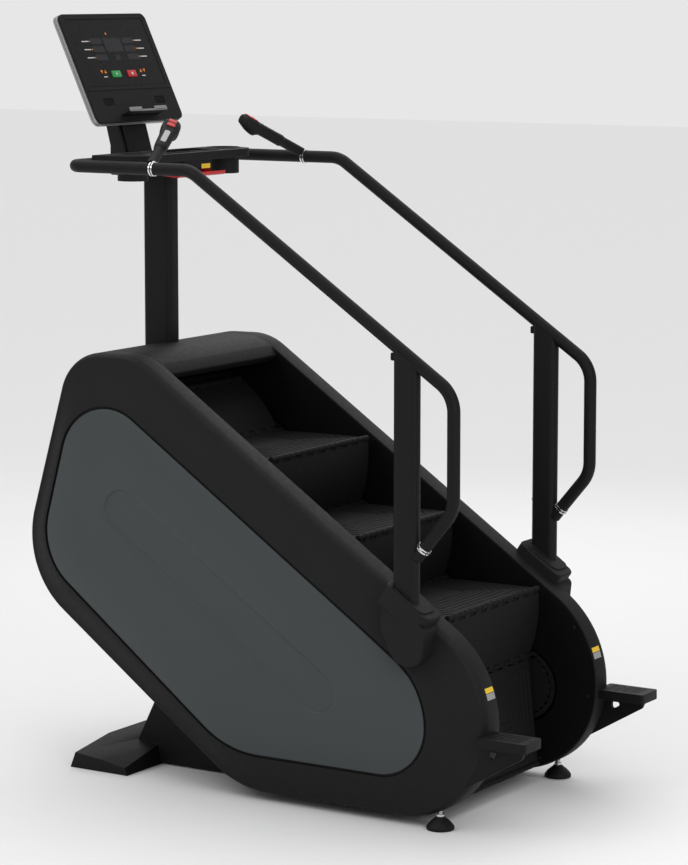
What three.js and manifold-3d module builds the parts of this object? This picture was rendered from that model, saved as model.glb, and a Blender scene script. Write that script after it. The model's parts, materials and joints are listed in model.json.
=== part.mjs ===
// Stair climber: an endless staircase between two side casings, with handrails and a console mast.
// Millimetres, +Z up, +X towards the end where the user steps on, -Y the user's left side.
import * as THREE from 'three';
import { mergeVertices } from 'three/addons/utils/BufferGeometryUtils.js';
import Module from 'manifold-3d';

const wasm = await Module();
wasm.setup();

// ---- driving dimensions -------------------------------------------------------------------
const PITCH = 360.6;             // spacing of the step axles along the chain
const DOWNHILL = [0.8264, -0.5631];
const OUTWARD = [0.5631, 0.8264];
const LOWER_SHAFT = [-93, 283];
const CHAIN_R = 100;
const STEP_COUNT = 8;
const RUN = (STEP_COUNT * PITCH - 2 * Math.PI * CHAIN_R) / 2;
const FIRST_AXLE = 28.5;         // how far the lowest axle of the visible flight is past the tangent
const TREAD_DEPTH = 328;
const RISER_HEIGHT = 208.3;
const STEP_HALF = 268;           // half the width of a step
const PIN_R = 6.5;
const TREAD_THICK = 18;
const RISER_BULGE = 12;

const WALL_Y = [293.4, 297.4];   // inner steel wall
const CHAIN_Y = [299, 311];
const BELT_Y = [315, 331];
const FRAME_Y = [335, 370];
const SHELL_Y = 293;             // inner lip of the side shell
const RIM_Y = 356;               // outer edge of the flat rim
const PANEL_Y = 400.4;           // back of the side panel's edge
const SKIN = 5;
const GAP = 0.4;

const RAIL_R = 18.5;
const RAIL_Y = 403;
const RAIL_Z = 1837;
const RAIL_FRONT_X = -1245;      // front bar of the handrail, ahead of the console's neck
const RAIL_FRONT_BEND = 50;
const RAIL_BEND = 95;
const UPRIGHT_X = -82;
const UPRIGHT_FOOT_Z = 585;
const FOOT_Y = 350;
const CUP_Y = 240;
const TRAY_X = -1132;
const TRAY_Z = 1865;
const MAST_X = -1202;

// casing outline in the XZ plane: x, z and corner radius
const CASING = [
  [-1040, 1284, 180], [-1281, 1280, 150], [-1477, 606, 280],
  [-680, 24, 300], [157, 24, 276], [157, 473, 318],
];
// coloured side panel
const PANEL = [
  [-1217, 1223, 165], [-1370, 667, 190], [-691, 147, 310], [-25, 147, 150], [-25, 416, 230],
];

// shallow round-ended pocket in the panel's face
const PANEL_FACE_Y = 418;
const POCKET = [[-1057.6, 826], [-377, 362]];
const POCKET_R = 62;
const POCKET_DEPTH = 4.5;

// ---- materials ----------------------------------------------------------------------------
const paint = (color, roughness, metalness = 0) => () =>
  new THREE.MeshStandardMaterial({ color, roughness, metalness });
const blackShell = paint(0x1b1c1e, 0.6);
const slatePanel = paint(0x4a545a, 0.45);
const blackSteel = paint(0x161719, 0.5, 0.4);
const stepPlastic = paint(0x151617, 0.7);
const bareSteel = paint(0x85888c, 0.4, 0.9);
const silver = paint(0xb4b7ba, 0.35, 0.6);
const rubber = paint(0x101010, 0.9);
const darkGlass = paint(0x0c0d0f, 0.15);
const redPlastic = paint(0xc4161c, 0.45);
const greenPlastic = paint(0x1d9a3c, 0.45);
const castIron = paint(0x3a3d40, 0.7, 0.5);

const machine = new THREE.Group();

function add(name, geometry, material, parent = machine) {
  const mesh = new THREE.Mesh(geometry, material());
  mesh.name = name;
  parent.add(mesh);
  return mesh;
}

// ---- solids and booleans ------------------------------------------------------------------
function toSolid(geometry) {
  const bare = geometry.clone();
  bare.deleteAttribute('normal');
  bare.deleteAttribute('uv');
  const merged = mergeVertices(bare, 1e-3);
  return new wasm.Manifold(new wasm.Mesh({
    numProp: 3,
    vertProperties: new Float32Array(merged.attributes.position.array),
    triVerts: new Uint32Array(merged.index.array),
  }));
}

function toGeometry(solid) {
  const mesh = solid.getMesh();
  const geometry = new THREE.BufferGeometry();
  geometry.setAttribute('position', new THREE.BufferAttribute(new Float32Array(mesh.vertProperties), 3));
  geometry.setIndex(new THREE.BufferAttribute(new Uint32Array(mesh.triVerts), 1));
  return geometry;
}

const join = (first, ...rest) =>
  toGeometry(rest.reduce((solid, next) => solid.add(toSolid(next)), toSolid(first)));
const cut = (first, ...rest) =>
  toGeometry(rest.reduce((solid, next) => solid.subtract(toSolid(next)), toSolid(first)));

// Closed skin over rings of equal length: capped at both ends, or joined into a ring tube.
function skin(rings, ringTube = false) {
  const count = rings[0].length;
  const positions = rings.flat().flatMap((p) => [p[0], p[1], p[2]]);
  const index = [];
  const bands = ringTube ? rings.length : rings.length - 1;
  for (let r = 0; r < bands; r += 1) {
    const low = r * count;
    const high = ((r + 1) % rings.length) * count;
    for (let i = 0; i < count; i += 1) {
      const j = (i + 1) % count;
      index.push(low + i, low + j, high + j, low + i, high + j, high + i);
    }
  }
  if (!ringTube) {
    const last = (rings.length - 1) * count;
    for (let i = 1; i < count - 1; i += 1) {
      index.push(0, i + 1, i);
      index.push(last, last + i, last + i + 1);
    }
  }
  const geometry = new THREE.BufferGeometry();
  geometry.setAttribute('position', new THREE.BufferAttribute(new Float32Array(positions), 3));
  geometry.setIndex(index);
  return outward(geometry);
}

// Turns a closed skin so that its faces point out.
function outward(geometry) {
  const p = geometry.attributes.position;
  const index = geometry.index.array;
  const corners = [new THREE.Vector3(), new THREE.Vector3(), new THREE.Vector3()];
  let volume = 0;
  for (let i = 0; i < index.length; i += 3) {
    corners.forEach((corner, k) => corner.fromBufferAttribute(p, index[i + k]));
    volume += corners[0].dot(corners[1].clone().cross(corners[2]));
  }
  if (volume < 0) {
    for (let i = 0; i < index.length; i += 3) {
      [index[i + 1], index[i + 2]] = [index[i + 2], index[i + 1]];
    }
  }
  return geometry;
}

// ---- outlines -----------------------------------------------------------------------------
// Rounded polygon, moved inwards by inset: a list of [x, z].
function rounded(corners, inset = 0, steps = 5) {
  const count = corners.length;
  const area = corners.reduce((sum, a, i) => {
    const b = corners[(i + 1) % count];
    return sum + a[0] * b[1] - b[0] * a[1];
  }, 0);
  const turn = Math.sign(area);
  const points = [];
  corners.forEach(([x, z, radius], i) => {
    const before = corners[(i + count - 1) % count];
    const after = corners[(i + 1) % count];
    const a = new THREE.Vector2(x - before[0], z - before[1]).normalize();
    const b = new THREE.Vector2(after[0] - x, after[1] - z).normalize();
    const angle = Math.atan2(a.cross(b), a.dot(b));
    const tangent = radius * Math.tan(Math.abs(angle) / 2);
    const inwardA = new THREE.Vector2(-a.y, a.x).multiplyScalar(turn);
    const centre = new THREE.Vector2(x, z).addScaledVector(a, -tangent).addScaledVector(inwardA, radius);
    const reach = Math.max(radius - inset, 0.5);
    const start = Math.atan2(-inwardA.y, -inwardA.x);
    for (let k = 0; k <= steps; k += 1) {
      const bearing = start + (angle * k) / steps;
      points.push([centre.x + reach * Math.cos(bearing), centre.y + reach * Math.sin(bearing)]);
    }
  });
  return points;
}

// Where a ray from the middle of the casing at a bearing meets a convex outline.
const HEART = [-640, 620];
function reachAt(points, bearing) {
  const dx = Math.cos(bearing);
  const dz = Math.sin(bearing);
  for (let i = 0; i < points.length; i += 1) {
    const a = points[i];
    const b = points[(i + 1) % points.length];
    const ex = b[0] - a[0];
    const ez = b[1] - a[1];
    const cross = dx * ez - dz * ex;
    if (Math.abs(cross) < 1e-9) continue;
    const ax = a[0] - HEART[0];
    const az = a[1] - HEART[1];
    const along = (ax * ez - az * ex) / cross;
    const edge = (ax * dz - az * dx) / cross;
    if (along > 0 && edge >= -1e-9 && edge <= 1 + 1e-9) return along;
  }
  throw new Error('outline does not surround its middle');
}

const bearingOf = ([x, z]) => Math.atan2(z - HEART[1], x - HEART[0]);
const BEARINGS = [...rounded(CASING), ...rounded(PANEL, 0, 4)]
  .map(bearingOf)
  .sort((a, b) => a - b)
  .filter((bearing, i, all) => i === 0 || bearing - all[i - 1] > 0.03);

// Ring of the casing (t = 0) or the panel (t = 1) or between them, at one Y.
function casingRing(t, y, casingInset, panelInset = 0) {
  const outer = rounded(CASING, casingInset, 8);
  const inner = rounded(PANEL, panelInset, 8);
  return BEARINGS.map((bearing) => {
    const reach = (1 - t) * reachAt(outer, bearing) + t * reachAt(inner, bearing);
    return [HEART[0] + reach * Math.cos(bearing), y, HEART[1] + reach * Math.sin(bearing)];
  });
}

// Straight extrusion along Y of an XZ outline with optional holes.
function plate(points, y0, y1, holes = []) {
  const shape = new THREE.Shape(points.map(([x, z]) => new THREE.Vector2(x, z)));
  holes.forEach((hole) => shape.holes.push(new THREE.Path(hole.map(([x, z]) => new THREE.Vector2(x, z)))));
  const low = Math.min(y0, y1);
  const high = Math.max(y0, y1);
  const geometry = new THREE.ExtrudeGeometry(shape, { depth: high - low, bevelEnabled: false });
  geometry.rotateX(Math.PI / 2);
  geometry.translate(0, high, 0);
  return geometry;
}

// Circle or arc as a list of [x, z].
function arc(x, z, r, from, to, steps) {
  return Array.from({ length: steps + 1 }, (_, k) => {
    const a = from + ((to - from) * k) / steps;
    return [x + r * Math.cos(a), z + r * Math.sin(a)];
  });
}
const circle = (x, z, r, sides = 24) => arc(x, z, r, 0, 2 * Math.PI, sides).slice(0, -1);

// Round bar along Y.
const barY = (x, z, r, y0, y1, sides = 24) => plate(circle(x, z, r, sides), y0, y1);

// Turned piece about a vertical axis from a half profile of [radius, z].
function turned(x, y, profile, sides = 24) {
  const geometry = new THREE.LatheGeometry(profile.map(([r, z]) => new THREE.Vector2(r, z)), sides);
  geometry.rotateX(Math.PI / 2);
  geometry.translate(x, y, 0);
  return outward(toGeometry(toSolid(geometry)));
}

// Rounded rectangle outline, a wide and b deep.
function roundRect(cx, cy, a, b, r, steps = 4) {
  const quarter = Math.PI / 2;
  return [
    ...arc(cx + a / 2 - r, cy + b / 2 - r, r, 0, quarter, steps),
    ...arc(cx - a / 2 + r, cy + b / 2 - r, r, quarter, 2 * quarter, steps),
    ...arc(cx - a / 2 + r, cy - b / 2 + r, r, 2 * quarter, 3 * quarter, steps),
    ...arc(cx + a / 2 - r, cy - b / 2 + r, r, 3 * quarter, 4 * quarter, steps),
  ];
}

// Vertical prism from an XY outline.
function prism(points, z0, z1, holes = []) {
  const shape = new THREE.Shape(points.map(([x, y]) => new THREE.Vector2(x, y)));
  holes.forEach((hole) => shape.holes.push(new THREE.Path(hole.map(([x, y]) => new THREE.Vector2(x, y)))));
  const geometry = new THREE.ExtrudeGeometry(shape, { depth: z1 - z0, bevelEnabled: false });
  geometry.translate(0, 0, z0);
  return geometry;
}

// Bent tube along points, with one bend radius for each inner point.
function bentTube(points, radius, bends, sides = 12, bendSteps = 5) {
  const path = new THREE.CurvePath();
  let from = new THREE.Vector3(...points[0]);
  for (let i = 1; i < points.length - 1; i += 1) {
    const corner = new THREE.Vector3(...points[i]);
    const a = corner.clone().sub(from).normalize();
    const b = new THREE.Vector3(...points[i + 1]).sub(corner).normalize();
    const trim = bends[i - 1] * Math.tan(a.angleTo(b) / 2);
    const start = corner.clone().addScaledVector(a, -trim);
    const end = corner.clone().addScaledVector(b, trim);
    path.add(new THREE.LineCurve3(from, start));
    path.add(new THREE.QuadraticBezierCurve3(start, corner, end));
    from = end;
  }
  path.add(new THREE.LineCurve3(from, new THREE.Vector3(...points[points.length - 1])));
  const section = new THREE.Shape();
  circle(0, 0, radius, sides).forEach(([x, y], i) => (i ? section.lineTo(x, y) : section.moveTo(x, y)));
  const stations = path.curves.flatMap((curve) =>
    (curve.isLineCurve3 ? [curve.v1] : curve.getPoints(bendSteps).slice(0, -1)));
  stations.push(path.curves[path.curves.length - 1].v2);
  return extrudeThrough(stations, section);
}

// Sweep of a section through given stations.
function extrudeThrough(stations, section) {
  const route = new THREE.Curve();
  route.getPoint = (t) => {
    const at = t * (stations.length - 1);
    const i = Math.min(Math.floor(at), stations.length - 2);
    return stations[i].clone().lerp(stations[i + 1], at - i);
  };
  route.getPointAt = route.getPoint;
  route.getTangentAt = (t) => {
    const i = Math.round(t * (stations.length - 1));
    const before = stations[Math.max(i - 1, 0)];
    const after = stations[Math.min(i + 1, stations.length - 1)];
    return after.clone().sub(before).normalize();
  };
  route.getTangent = route.getTangentAt;
  return new THREE.ExtrudeGeometry(section, {
    extrudePath: route, steps: stations.length - 1, bevelEnabled: false,
  });
}

// ---- staircase geometry -------------------------------------------------------------------
// Point on the chain at a distance uphill of the tangent above the lower shaft.
const UPPER_SHAFT = [LOWER_SHAFT[0] - RUN * DOWNHILL[0], LOWER_SHAFT[1] - RUN * DOWNHILL[1]];
function chainPoint(distance, radius = CHAIN_R) {
  const loop = STEP_COUNT * PITCH;
  const s = ((distance % loop) + loop) % loop;
  const half = Math.PI * CHAIN_R;
  const tilt = Math.atan2(OUTWARD[1], OUTWARD[0]);
  const place = (centre, bearing) =>
    [centre[0] + radius * Math.cos(bearing), centre[1] + radius * Math.sin(bearing)];
  if (s <= RUN) {
    const p = place(LOWER_SHAFT, tilt);
    return [p[0] - s * DOWNHILL[0], p[1] - s * DOWNHILL[1]];
  }
  if (s <= RUN + half) return place(UPPER_SHAFT, tilt + (s - RUN) / CHAIN_R);
  if (s <= 2 * RUN + half) {
    const p = place(UPPER_SHAFT, tilt + Math.PI);
    const along = s - RUN - half;
    return [p[0] + along * DOWNHILL[0], p[1] + along * DOWNHILL[1]];
  }
  return place(LOWER_SHAFT, tilt + Math.PI + (s - 2 * RUN - half) / CHAIN_R);
}

// Axle of step k (0 = lowest of the flight) and the nosing that its tread and riser meet at.
const axle = (k) => chainPoint(FIRST_AXLE + k * PITCH);
function nosing(k) {
  const back = axle(k);
  const foot = axle(k - 1);
  const span = Math.hypot(foot[0] - back[0], foot[1] - back[1]);
  const d = [(foot[0] - back[0]) / span, (foot[1] - back[1]) / span];
  const along = (TREAD_DEPTH ** 2 - RISER_HEIGHT ** 2 + span ** 2) / (2 * span);
  const out = Math.sqrt(TREAD_DEPTH ** 2 - along ** 2);
  return [back[0] + along * d[0] - out * d[1], back[1] + along * d[1] + out * d[0]];
}

// Maps local (along a, outwards b) between two pivots into XZ.
function between(from, to, side) {
  const span = Math.hypot(to[0] - from[0], to[1] - from[1]);
  const d = [(to[0] - from[0]) / span, (to[1] - from[1]) / span];
  return (a, b) => [from[0] + a * d[0] - side * b * d[1], from[1] + a * d[1] + side * b * d[0]];
}

// Ribbed tread from its nosing to its back edge. The two treads whose back pivot is left open
// stop further short of it.
const OPEN_PIVOTS = [4, 7];
function treadOutline(k) {
  const at = between(nosing(k), axle(k), -1);
  const clear = PIN_R + 3;
  const back = OPEN_PIVOTS.includes(k) ? 26 : clear;
  const ribs = 9;
  const points = [at(clear, -2), at(clear, 1)];
  const step = (TREAD_DEPTH - clear - 46) / ribs;
  for (let i = 0; i < ribs; i += 1) {
    const a = clear + 10 + i * step;
    points.push(at(a, 1), at(a + 3, 4), at(a + step * 0.5, 4), at(a + step * 0.5 + 3, 1));
  }
  points.push(at(TREAD_DEPTH - back, 1), at(TREAD_DEPTH - back, -4));
  points.push(at(TREAD_DEPTH - 60, -TREAD_THICK), at(60, -TREAD_THICK), at(30, -10));
  return points;
}

// Curved riser with a pin tube at each end.
function riserGeometry(k) {
  const top = nosing(k);
  const foot = axle(k - 1);
  const at = between(top, foot, 1);
  const curve = (b) => Array.from({ length: 7 }, (_, i) => {
    const a = (RISER_HEIGHT * i) / 6;
    return at(a, b + RISER_BULGE * Math.sin((Math.PI * i) / 6));
  });
  const sheet = plate([...curve(4), ...curve(-4).reverse()], -STEP_HALF, STEP_HALF);
  const topPin = barY(top[0], top[1], PIN_R, -STEP_HALF + 1, STEP_HALF - 1, 10);
  const axlePin = barY(foot[0], foot[1], PIN_R, -CHAIN_Y[0] + GAP, CHAIN_Y[0] - GAP, 10);
  return join(sheet, topPin, axlePin);
}

const FLIGHT = [['d', 0], ['c', 1], ['b', 2], ['a', 3], ['top', 4]];
const RETURNING = [['lower', 7], ['middle', 6], ['upper', 5]];

function staircase() {
  FLIGHT.forEach(([letter, k]) => {
    add(`tread_${letter}`, plate(treadOutline(k), -STEP_HALF, STEP_HALF), stepPlastic);
    add(`riser_${letter}`, riserGeometry(k), stepPlastic);
  });
  RETURNING.forEach(([place, k]) => {
    const tip = nosing(k);
    const tread = plate(treadOutline(k), -STEP_HALF, STEP_HALF);
    const web = plate(circle(tip[0], tip[1], PIN_R + 6, 10), -STEP_HALF, STEP_HALF);
    add(`return_step_${place}`, join(riserGeometry(k), web, tread), stepPlastic);
  });
}

// ---- drive --------------------------------------------------------------------------------
const BELT_R = 110;
const BELT_THICK = 4;
const SMALL_R = 28;
const GENERATOR = [-900, 340];
const SHAFT_R = 12.5;

function toothed(x, z, rTip, rRoot, teeth) {
  return Array.from({ length: teeth * 2 }, (_, i) => {
    const a = (Math.PI * (i + 0.5)) / teeth;
    const r = i % 2 ? rRoot : rTip;
    return [x + r * Math.cos(a), z + r * Math.sin(a)];
  });
}

function stepShaft(name, [x, z], withPulley) {
  const end = FRAME_Y[1] - 4;
  const pieces = [];
  [-1, 1].forEach((side) => {
    const y = [CHAIN_Y[0] + 2, CHAIN_Y[1] - 2].map((v) => side * v);
    pieces.push(plate(toothed(x, z, CHAIN_R - 7.6, CHAIN_R - 14, 24), ...y));
  });
  if (withPulley) pieces.push(barY(x, z, BELT_R - GAP, BELT_Y[0], BELT_Y[1], 32));
  add(name, join(barY(x, z, SHAFT_R, -end, end, 20), ...pieces), bareSteel);
}

// Band that runs round two circles: a list of [x, z].
function aroundTwo(a, ra, b, rb, steps) {
  const gap = Math.hypot(b[0] - a[0], b[1] - a[1]);
  const aim = Math.atan2(b[1] - a[1], b[0] - a[0]);
  const lean = Math.acos((ra - rb) / gap);
  return [
    ...arc(a[0], a[1], ra, aim + lean, aim + 2 * Math.PI - lean, steps),
    ...arc(b[0], b[1], rb, aim - lean, aim + lean, steps),
  ];
}

function drive() {
  stepShaft('lower_sprocket_shaft', LOWER_SHAFT, false);
  stepShaft('upper_sprocket_shaft', UPPER_SHAFT, true);
  const outer = aroundTwo(LOWER_SHAFT, CHAIN_R + 7, UPPER_SHAFT, CHAIN_R + 7, 14);
  const inner = aroundTwo(LOWER_SHAFT, CHAIN_R - 7, UPPER_SHAFT, CHAIN_R - 7, 14);
  [['left', -1], ['right', 1]].forEach(([hand, side]) => {
    add(`step_chain_${hand}`, plate(outer, side * CHAIN_Y[0], side * CHAIN_Y[1], [inner]), bareSteel);
  });
  const beltOut = aroundTwo(UPPER_SHAFT, BELT_R + BELT_THICK, GENERATOR, SMALL_R + BELT_THICK, 20);
  const beltIn = aroundTwo(UPPER_SHAFT, BELT_R + 1, GENERATOR, SMALL_R + 1, 20);
  add('drive_belt', plate(beltOut, BELT_Y[0] + 1, BELT_Y[1] - 1, [beltIn]), rubber);
  const [gx, gz] = GENERATOR;
  const housing = join(
    barY(gx, gz, 80, 120, 280),
    plate([[gx - 50, gz - 98], [gx + 60, gz - 98], [gx + 60, gz - 60], [gx - 50, gz - 60]], 150, 250),
  );
  add('generator_housing', cut(housing, barY(gx, gz, 11, 200, 290, 16)), castIron);
  const rotor = join(barY(gx, gz, 10, 205, BELT_Y[1], 16), barY(gx, gz, SMALL_R - GAP, BELT_Y[0], BELT_Y[1]));
  add('generator_pulley', rotor, bareSteel);
}

// ---- frame --------------------------------------------------------------------------------
function beam([x0, z0], [x1, z1], width) {
  const span = Math.hypot(x1 - x0, z1 - z0);
  const nx = (-(z1 - z0) / span) * (width / 2);
  const nz = ((x1 - x0) / span) * (width / 2);
  return [[x0 + nx, z0 + nz], [x1 + nx, z1 + nz], [x1 - nx, z1 - nz], [x0 - nx, z0 - nz]];
}

function sideFrame(hand, side) {
  const y = FRAME_Y.map((v) => side * v);
  const corners = [[-1180, 1150], [5, 420], [5, 130], [-660, 130], [-1340, 640]];
  const bars = corners.map((p, i) => plate(beam(p, corners[(i + 1) % corners.length], 50), ...y));
  const knots = corners.map(([x, z]) => plate(circle(x, z, 25, 8), ...y));
  const posts = [
    plate(beam([UPPER_SHAFT[0], 400], [UPPER_SHAFT[0], 1040], 46), ...y),
    plate(beam([LOWER_SHAFT[0], 120], [LOWER_SHAFT[0], 470], 46), ...y),
  ];
  const bosses = [UPPER_SHAFT, LOWER_SHAFT].map(([x, z]) => plate(circle(x, z, 42, 20), ...y));
  const bracket = turned(0, side * FOOT_Y, [[0, 110], [17, 110], [17, 78], [12, 58], [0, 58]], 16);
  const bores = [UPPER_SHAFT, LOWER_SHAFT].map(([x, z]) =>
    plate(circle(x, z, (SHAFT_R + 0.3) / Math.cos(Math.PI / 20), 20), side * 330, side * 375));
  const stemBore = turned(0, side * FOOT_Y, [[0, 50], [8.2, 50], [8.2, 96], [0, 96]], 16);
  const frame = join(bars[0], ...bars.slice(1), ...knots, ...posts, ...bosses, bracket);
  add(`side_frame_${hand}`, cut(frame, ...bores, stemBore), blackSteel);
}

function levellingFoot(hand, side) {
  const profile = [
    [0, 0], [38, 0], [40, 3], [40, 9], [32, 20], [16, 32], [11, 36], [7.2, 38], [7.2, 90], [0, 90],
  ];
  add(`levelling_foot_${hand}`, turned(0, side * FOOT_Y, profile, 20), rubber);
}

function base() {
  [['left', -1], ['right', 1]].forEach(([hand, side]) => {
    sideFrame(hand, side);
    levellingFoot(hand, side);
  });
  const section = (y, top, rear) => [
    [-1313, y, 0], [-1294, y, top], [-1186, y, top - rear * 0.4], [-1108, y, top - rear], [-1098, y, 0],
  ];
  const bar = skin([
    section(-343, 48, 26), section(-167, 74, 14), section(167, 74, 14), section(343, 48, 26),
  ]);
  const leg = plate([
    [-1100, 5], [-852, 5], [-802, 111], [-1067, 304.5], [-1188, 60], [-1120, 40],
  ], -167, 167);
  const hollow = plate([
    [-1085, 11], [-859, 11], [-800, 135], [-1060, 325], [-1160, 80],
  ], -161, 161);
  add('front_foot', join(bar, cut(leg, hollow)), blackSteel);
  const reach = WALL_Y[0] - GAP;
  add('upper_cross_tube', plate(roundRect(-1180, 1130, 70, 70, 8, 2), -reach, reach), blackSteel);
  add('lower_cross_tube', plate(roundRect(-640, 90, 60, 60, 8, 2), -reach, reach), blackSteel);
}

// ---- casing -------------------------------------------------------------------------------
function sideShell(hand, side) {
  const ring = (t, y, casingInset, panelInset) => casingRing(t, side * y, casingInset, panelInset);
  const shell = skin([
    ring(0, SHELL_Y, 0), ring(0, RIM_Y, 0), ring(0, 375, 20), ring(0.35, 384, 20), ring(0.75, 396, 20),
    ring(1, 399.5, 20, -8), ring(1, 399.5, 20, 24), ring(1, 395, 20, 24), ring(0.75, 391, 24),
    ring(0.35, 379, 24), ring(0, 370, 25), ring(0, RIM_Y - 3, SKIN), ring(0, SHELL_Y, SKIN),
  ], true);
  const footHole = turned(0, side * FOOT_Y, [[0, 20], [20, 20], [20, 90], [0, 90]], 16);
  add(`side_shell_${hand}`, cut(shell, footHole), blackShell);
}

function sidePanel(hand, side) {
  const ring = (y, inset) => rounded(PANEL, inset, 5).map(([x, z]) => [x, side * y, z]);
  const body = skin([
    ring(409.5, 62), ring(405.5, 9), ring(PANEL_Y, 5), ring(PANEL_Y, 0), ring(406, 0), ring(409, 4),
    ring(414.5, 40), ring(PANEL_FACE_Y, 105),
  ]);
  const pocket = aroundTwo(POCKET[0], POCKET_R, POCKET[1], POCKET_R, 8);
  const recess = plate(pocket, side * (PANEL_FACE_Y - POCKET_DEPTH), side * 420);
  add(`side_panel_${hand}`, cut(body, recess), slatePanel);
}

function innerWall(hand, side) {
  const opening = aroundTwo(LOWER_SHAFT, 116, UPPER_SHAFT, 116, 14);
  const holes = [opening];
  if (side > 0) holes.push(circle(GENERATOR[0], GENERATOR[1], 20, 12));
  const edge = casingRing(0, 0, SKIN + GAP).map(([x, , z]) => [x, z]);
  add(`inner_wall_${hand}`, plate(edge, side * WALL_Y[0], side * WALL_Y[1], holes), blackSteel);
}

// Part of the casing's outline, from one corner's arc to another's.
function cornerArc(index, inset) {
  const steps = 6;
  return rounded(CASING, inset, steps).slice(index * (steps + 1), (index + 1) * (steps + 1));
}

function cover(name, corners, before, after) {
  const outer = [...before(0), ...corners.flatMap((i) => cornerArc(i, 0)), ...after(0)];
  const inner = [...before(SKIN), ...corners.flatMap((i) => cornerArc(i, SKIN)), ...after(SKIN)];
  const half = SHELL_Y - GAP;
  return add(name, plate([...outer, ...inner.reverse()], -half, half), blackShell);
}

function casing() {
  [['left', -1], ['right', 1]].forEach(([hand, side]) => {
    sideShell(hand, side);
    sidePanel(hand, side);
    innerWall(hand, side);
  });
  const none = () => [];
  cover('hood_cover', [0], (inset) => [[-972 - inset, 1223 - inset * 0.6]],
    (inset) => [[-1135, 1282.4 - inset]]);
  const mastHole = prism(roundRect(MAST_X, 0, 106, 66, 20), 1200, 1300);
  const front = cover('front_cover', [1, 2], (inset) => [[-1135.5, 1282.4 - inset]], none);
  front.geometry = cut(front.geometry, mastHole, plate(roundRect(-1430, 560, 200, 60, 4, 1), -40, 40));
  const [tipX, tipZ] = cornerArc(2, 0)[6];
  cover('belly_cover', [3], (inset) => {
    const slope = [0.8076, -0.5897];
    return [[tipX + 0.5 * slope[0] - inset * slope[1], tipZ + 0.5 * slope[1] + inset * slope[0]]];
  }, (inset) => [[-90, 24 + inset]]);
  add('power_inlet', plate([[-1423, 545], [-1400, 545], [-1400, 575], [-1423, 575]], -28, 28), rubber);
}

// ---- rails, uprights, collars, pedals ------------------------------------------------------
function shellEnvelope(side) {
  const ring = (t, y, inset, panelInset) => casingRing(t, side * y, inset, panelInset);
  return skin([
    ring(0, 280, -GAP), ring(0, RIM_Y + GAP, -GAP), ring(0, 375 + GAP, 20 - GAP),
    ring(0.35, 384 + GAP, 20), ring(0.75, 396 + GAP, 20), ring(1, 400, 20, -8), ring(1, 407.4, 20, -2),
  ]);
}

// Corners of the handrail's axis, from the middle of the front bar to its foot on the upright.
const RAIL_BENDS = [RAIL_FRONT_BEND, RAIL_BEND, RAIL_BEND, RAIL_BEND];
function railPoints(side) {
  const y = side * RAIL_Y;
  return [
    [RAIL_FRONT_X, side * 0.3, RAIL_Z], [RAIL_FRONT_X, y, RAIL_Z], [-813, y, RAIL_Z],
    [67.5, y, 1247.5], [68, y, 922.5], [-50, y, 781],
  ];
}

const railTube = (side, radius) => bentTube(railPoints(side), radius, RAIL_BENDS);

// Oval column, cut off where the sloping rail crosses it.
function upright(side) {
  const column = prism(roundRect(UPRIGHT_X, side * RAIL_Y, 80, 40, 19, 5), UPRIGHT_FOOT_Z, 1420);
  const above = plate([[-140, 1368], [-140, 1500], [60, 1500], [60, 1234]], side * 370, side * 436);
  return cut(column, railTube(side, RAIL_R + GAP), above);
}

function collar(hand, side) {
  const along = (s, n) => [UPRIGHT_X + s * DOWNHILL[0] + n * OUTWARD[0],
    634 + s * DOWNHILL[1] + n * OUTWARD[1]];
  const cap = plate([
    along(-84, -6), along(84, -6), along(84, 26), along(76, 32), along(-76, 32), along(-84, 26),
  ], side * 336, side * 442);
  const tongue = plate([
    along(-84, 0), [-150, 590], [-140, 545], [-105, 500], [-60, 480], [-28, 485], [-8, 520], along(84, 0),
  ], side * 360, side * 442);
  const hole = prism(roundRect(UPRIGHT_X, side * RAIL_Y, 81, 41, 19.5, 5), 580, 760);
  add(`upright_collar_${hand}`, cut(join(cap, tongue), hole, shellEnvelope(side)), blackShell);
}

function pedal(hand, side) {
  const r = 277.5;
  const onShell = (z) => [-119 + Math.sqrt(r * r - (z - 300) ** 2), z];
  const rest = plate([onShell(266), [300, 266], [302, 270], [302, 290], [298, 294], onShell(294)],
    side * 310, side * 408);
  const gusset = plate([
    onShell(138), [270, 236], [270, 270], onShell(270), onShell(240), onShell(200), onShell(165),
  ], side * 362, side * 374);
  add(`rear_pedal_${hand}`, join(rest, gusset), blackSteel);
}

function rails() {
  [['left', -1], ['right', 1]].forEach(([hand, side]) => {
    add(`upright_${hand}`, upright(side), blackSteel);
    add(`handrail_${hand}`, railTube(side, RAIL_R), blackSteel);
    collar(hand, side);
    pedal(hand, side);
  });
}

// ---- grips --------------------------------------------------------------------------------
const GRIP_FACE = [0.48, 0.28, 0.83];   // the way the keys of the right grip face

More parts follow.
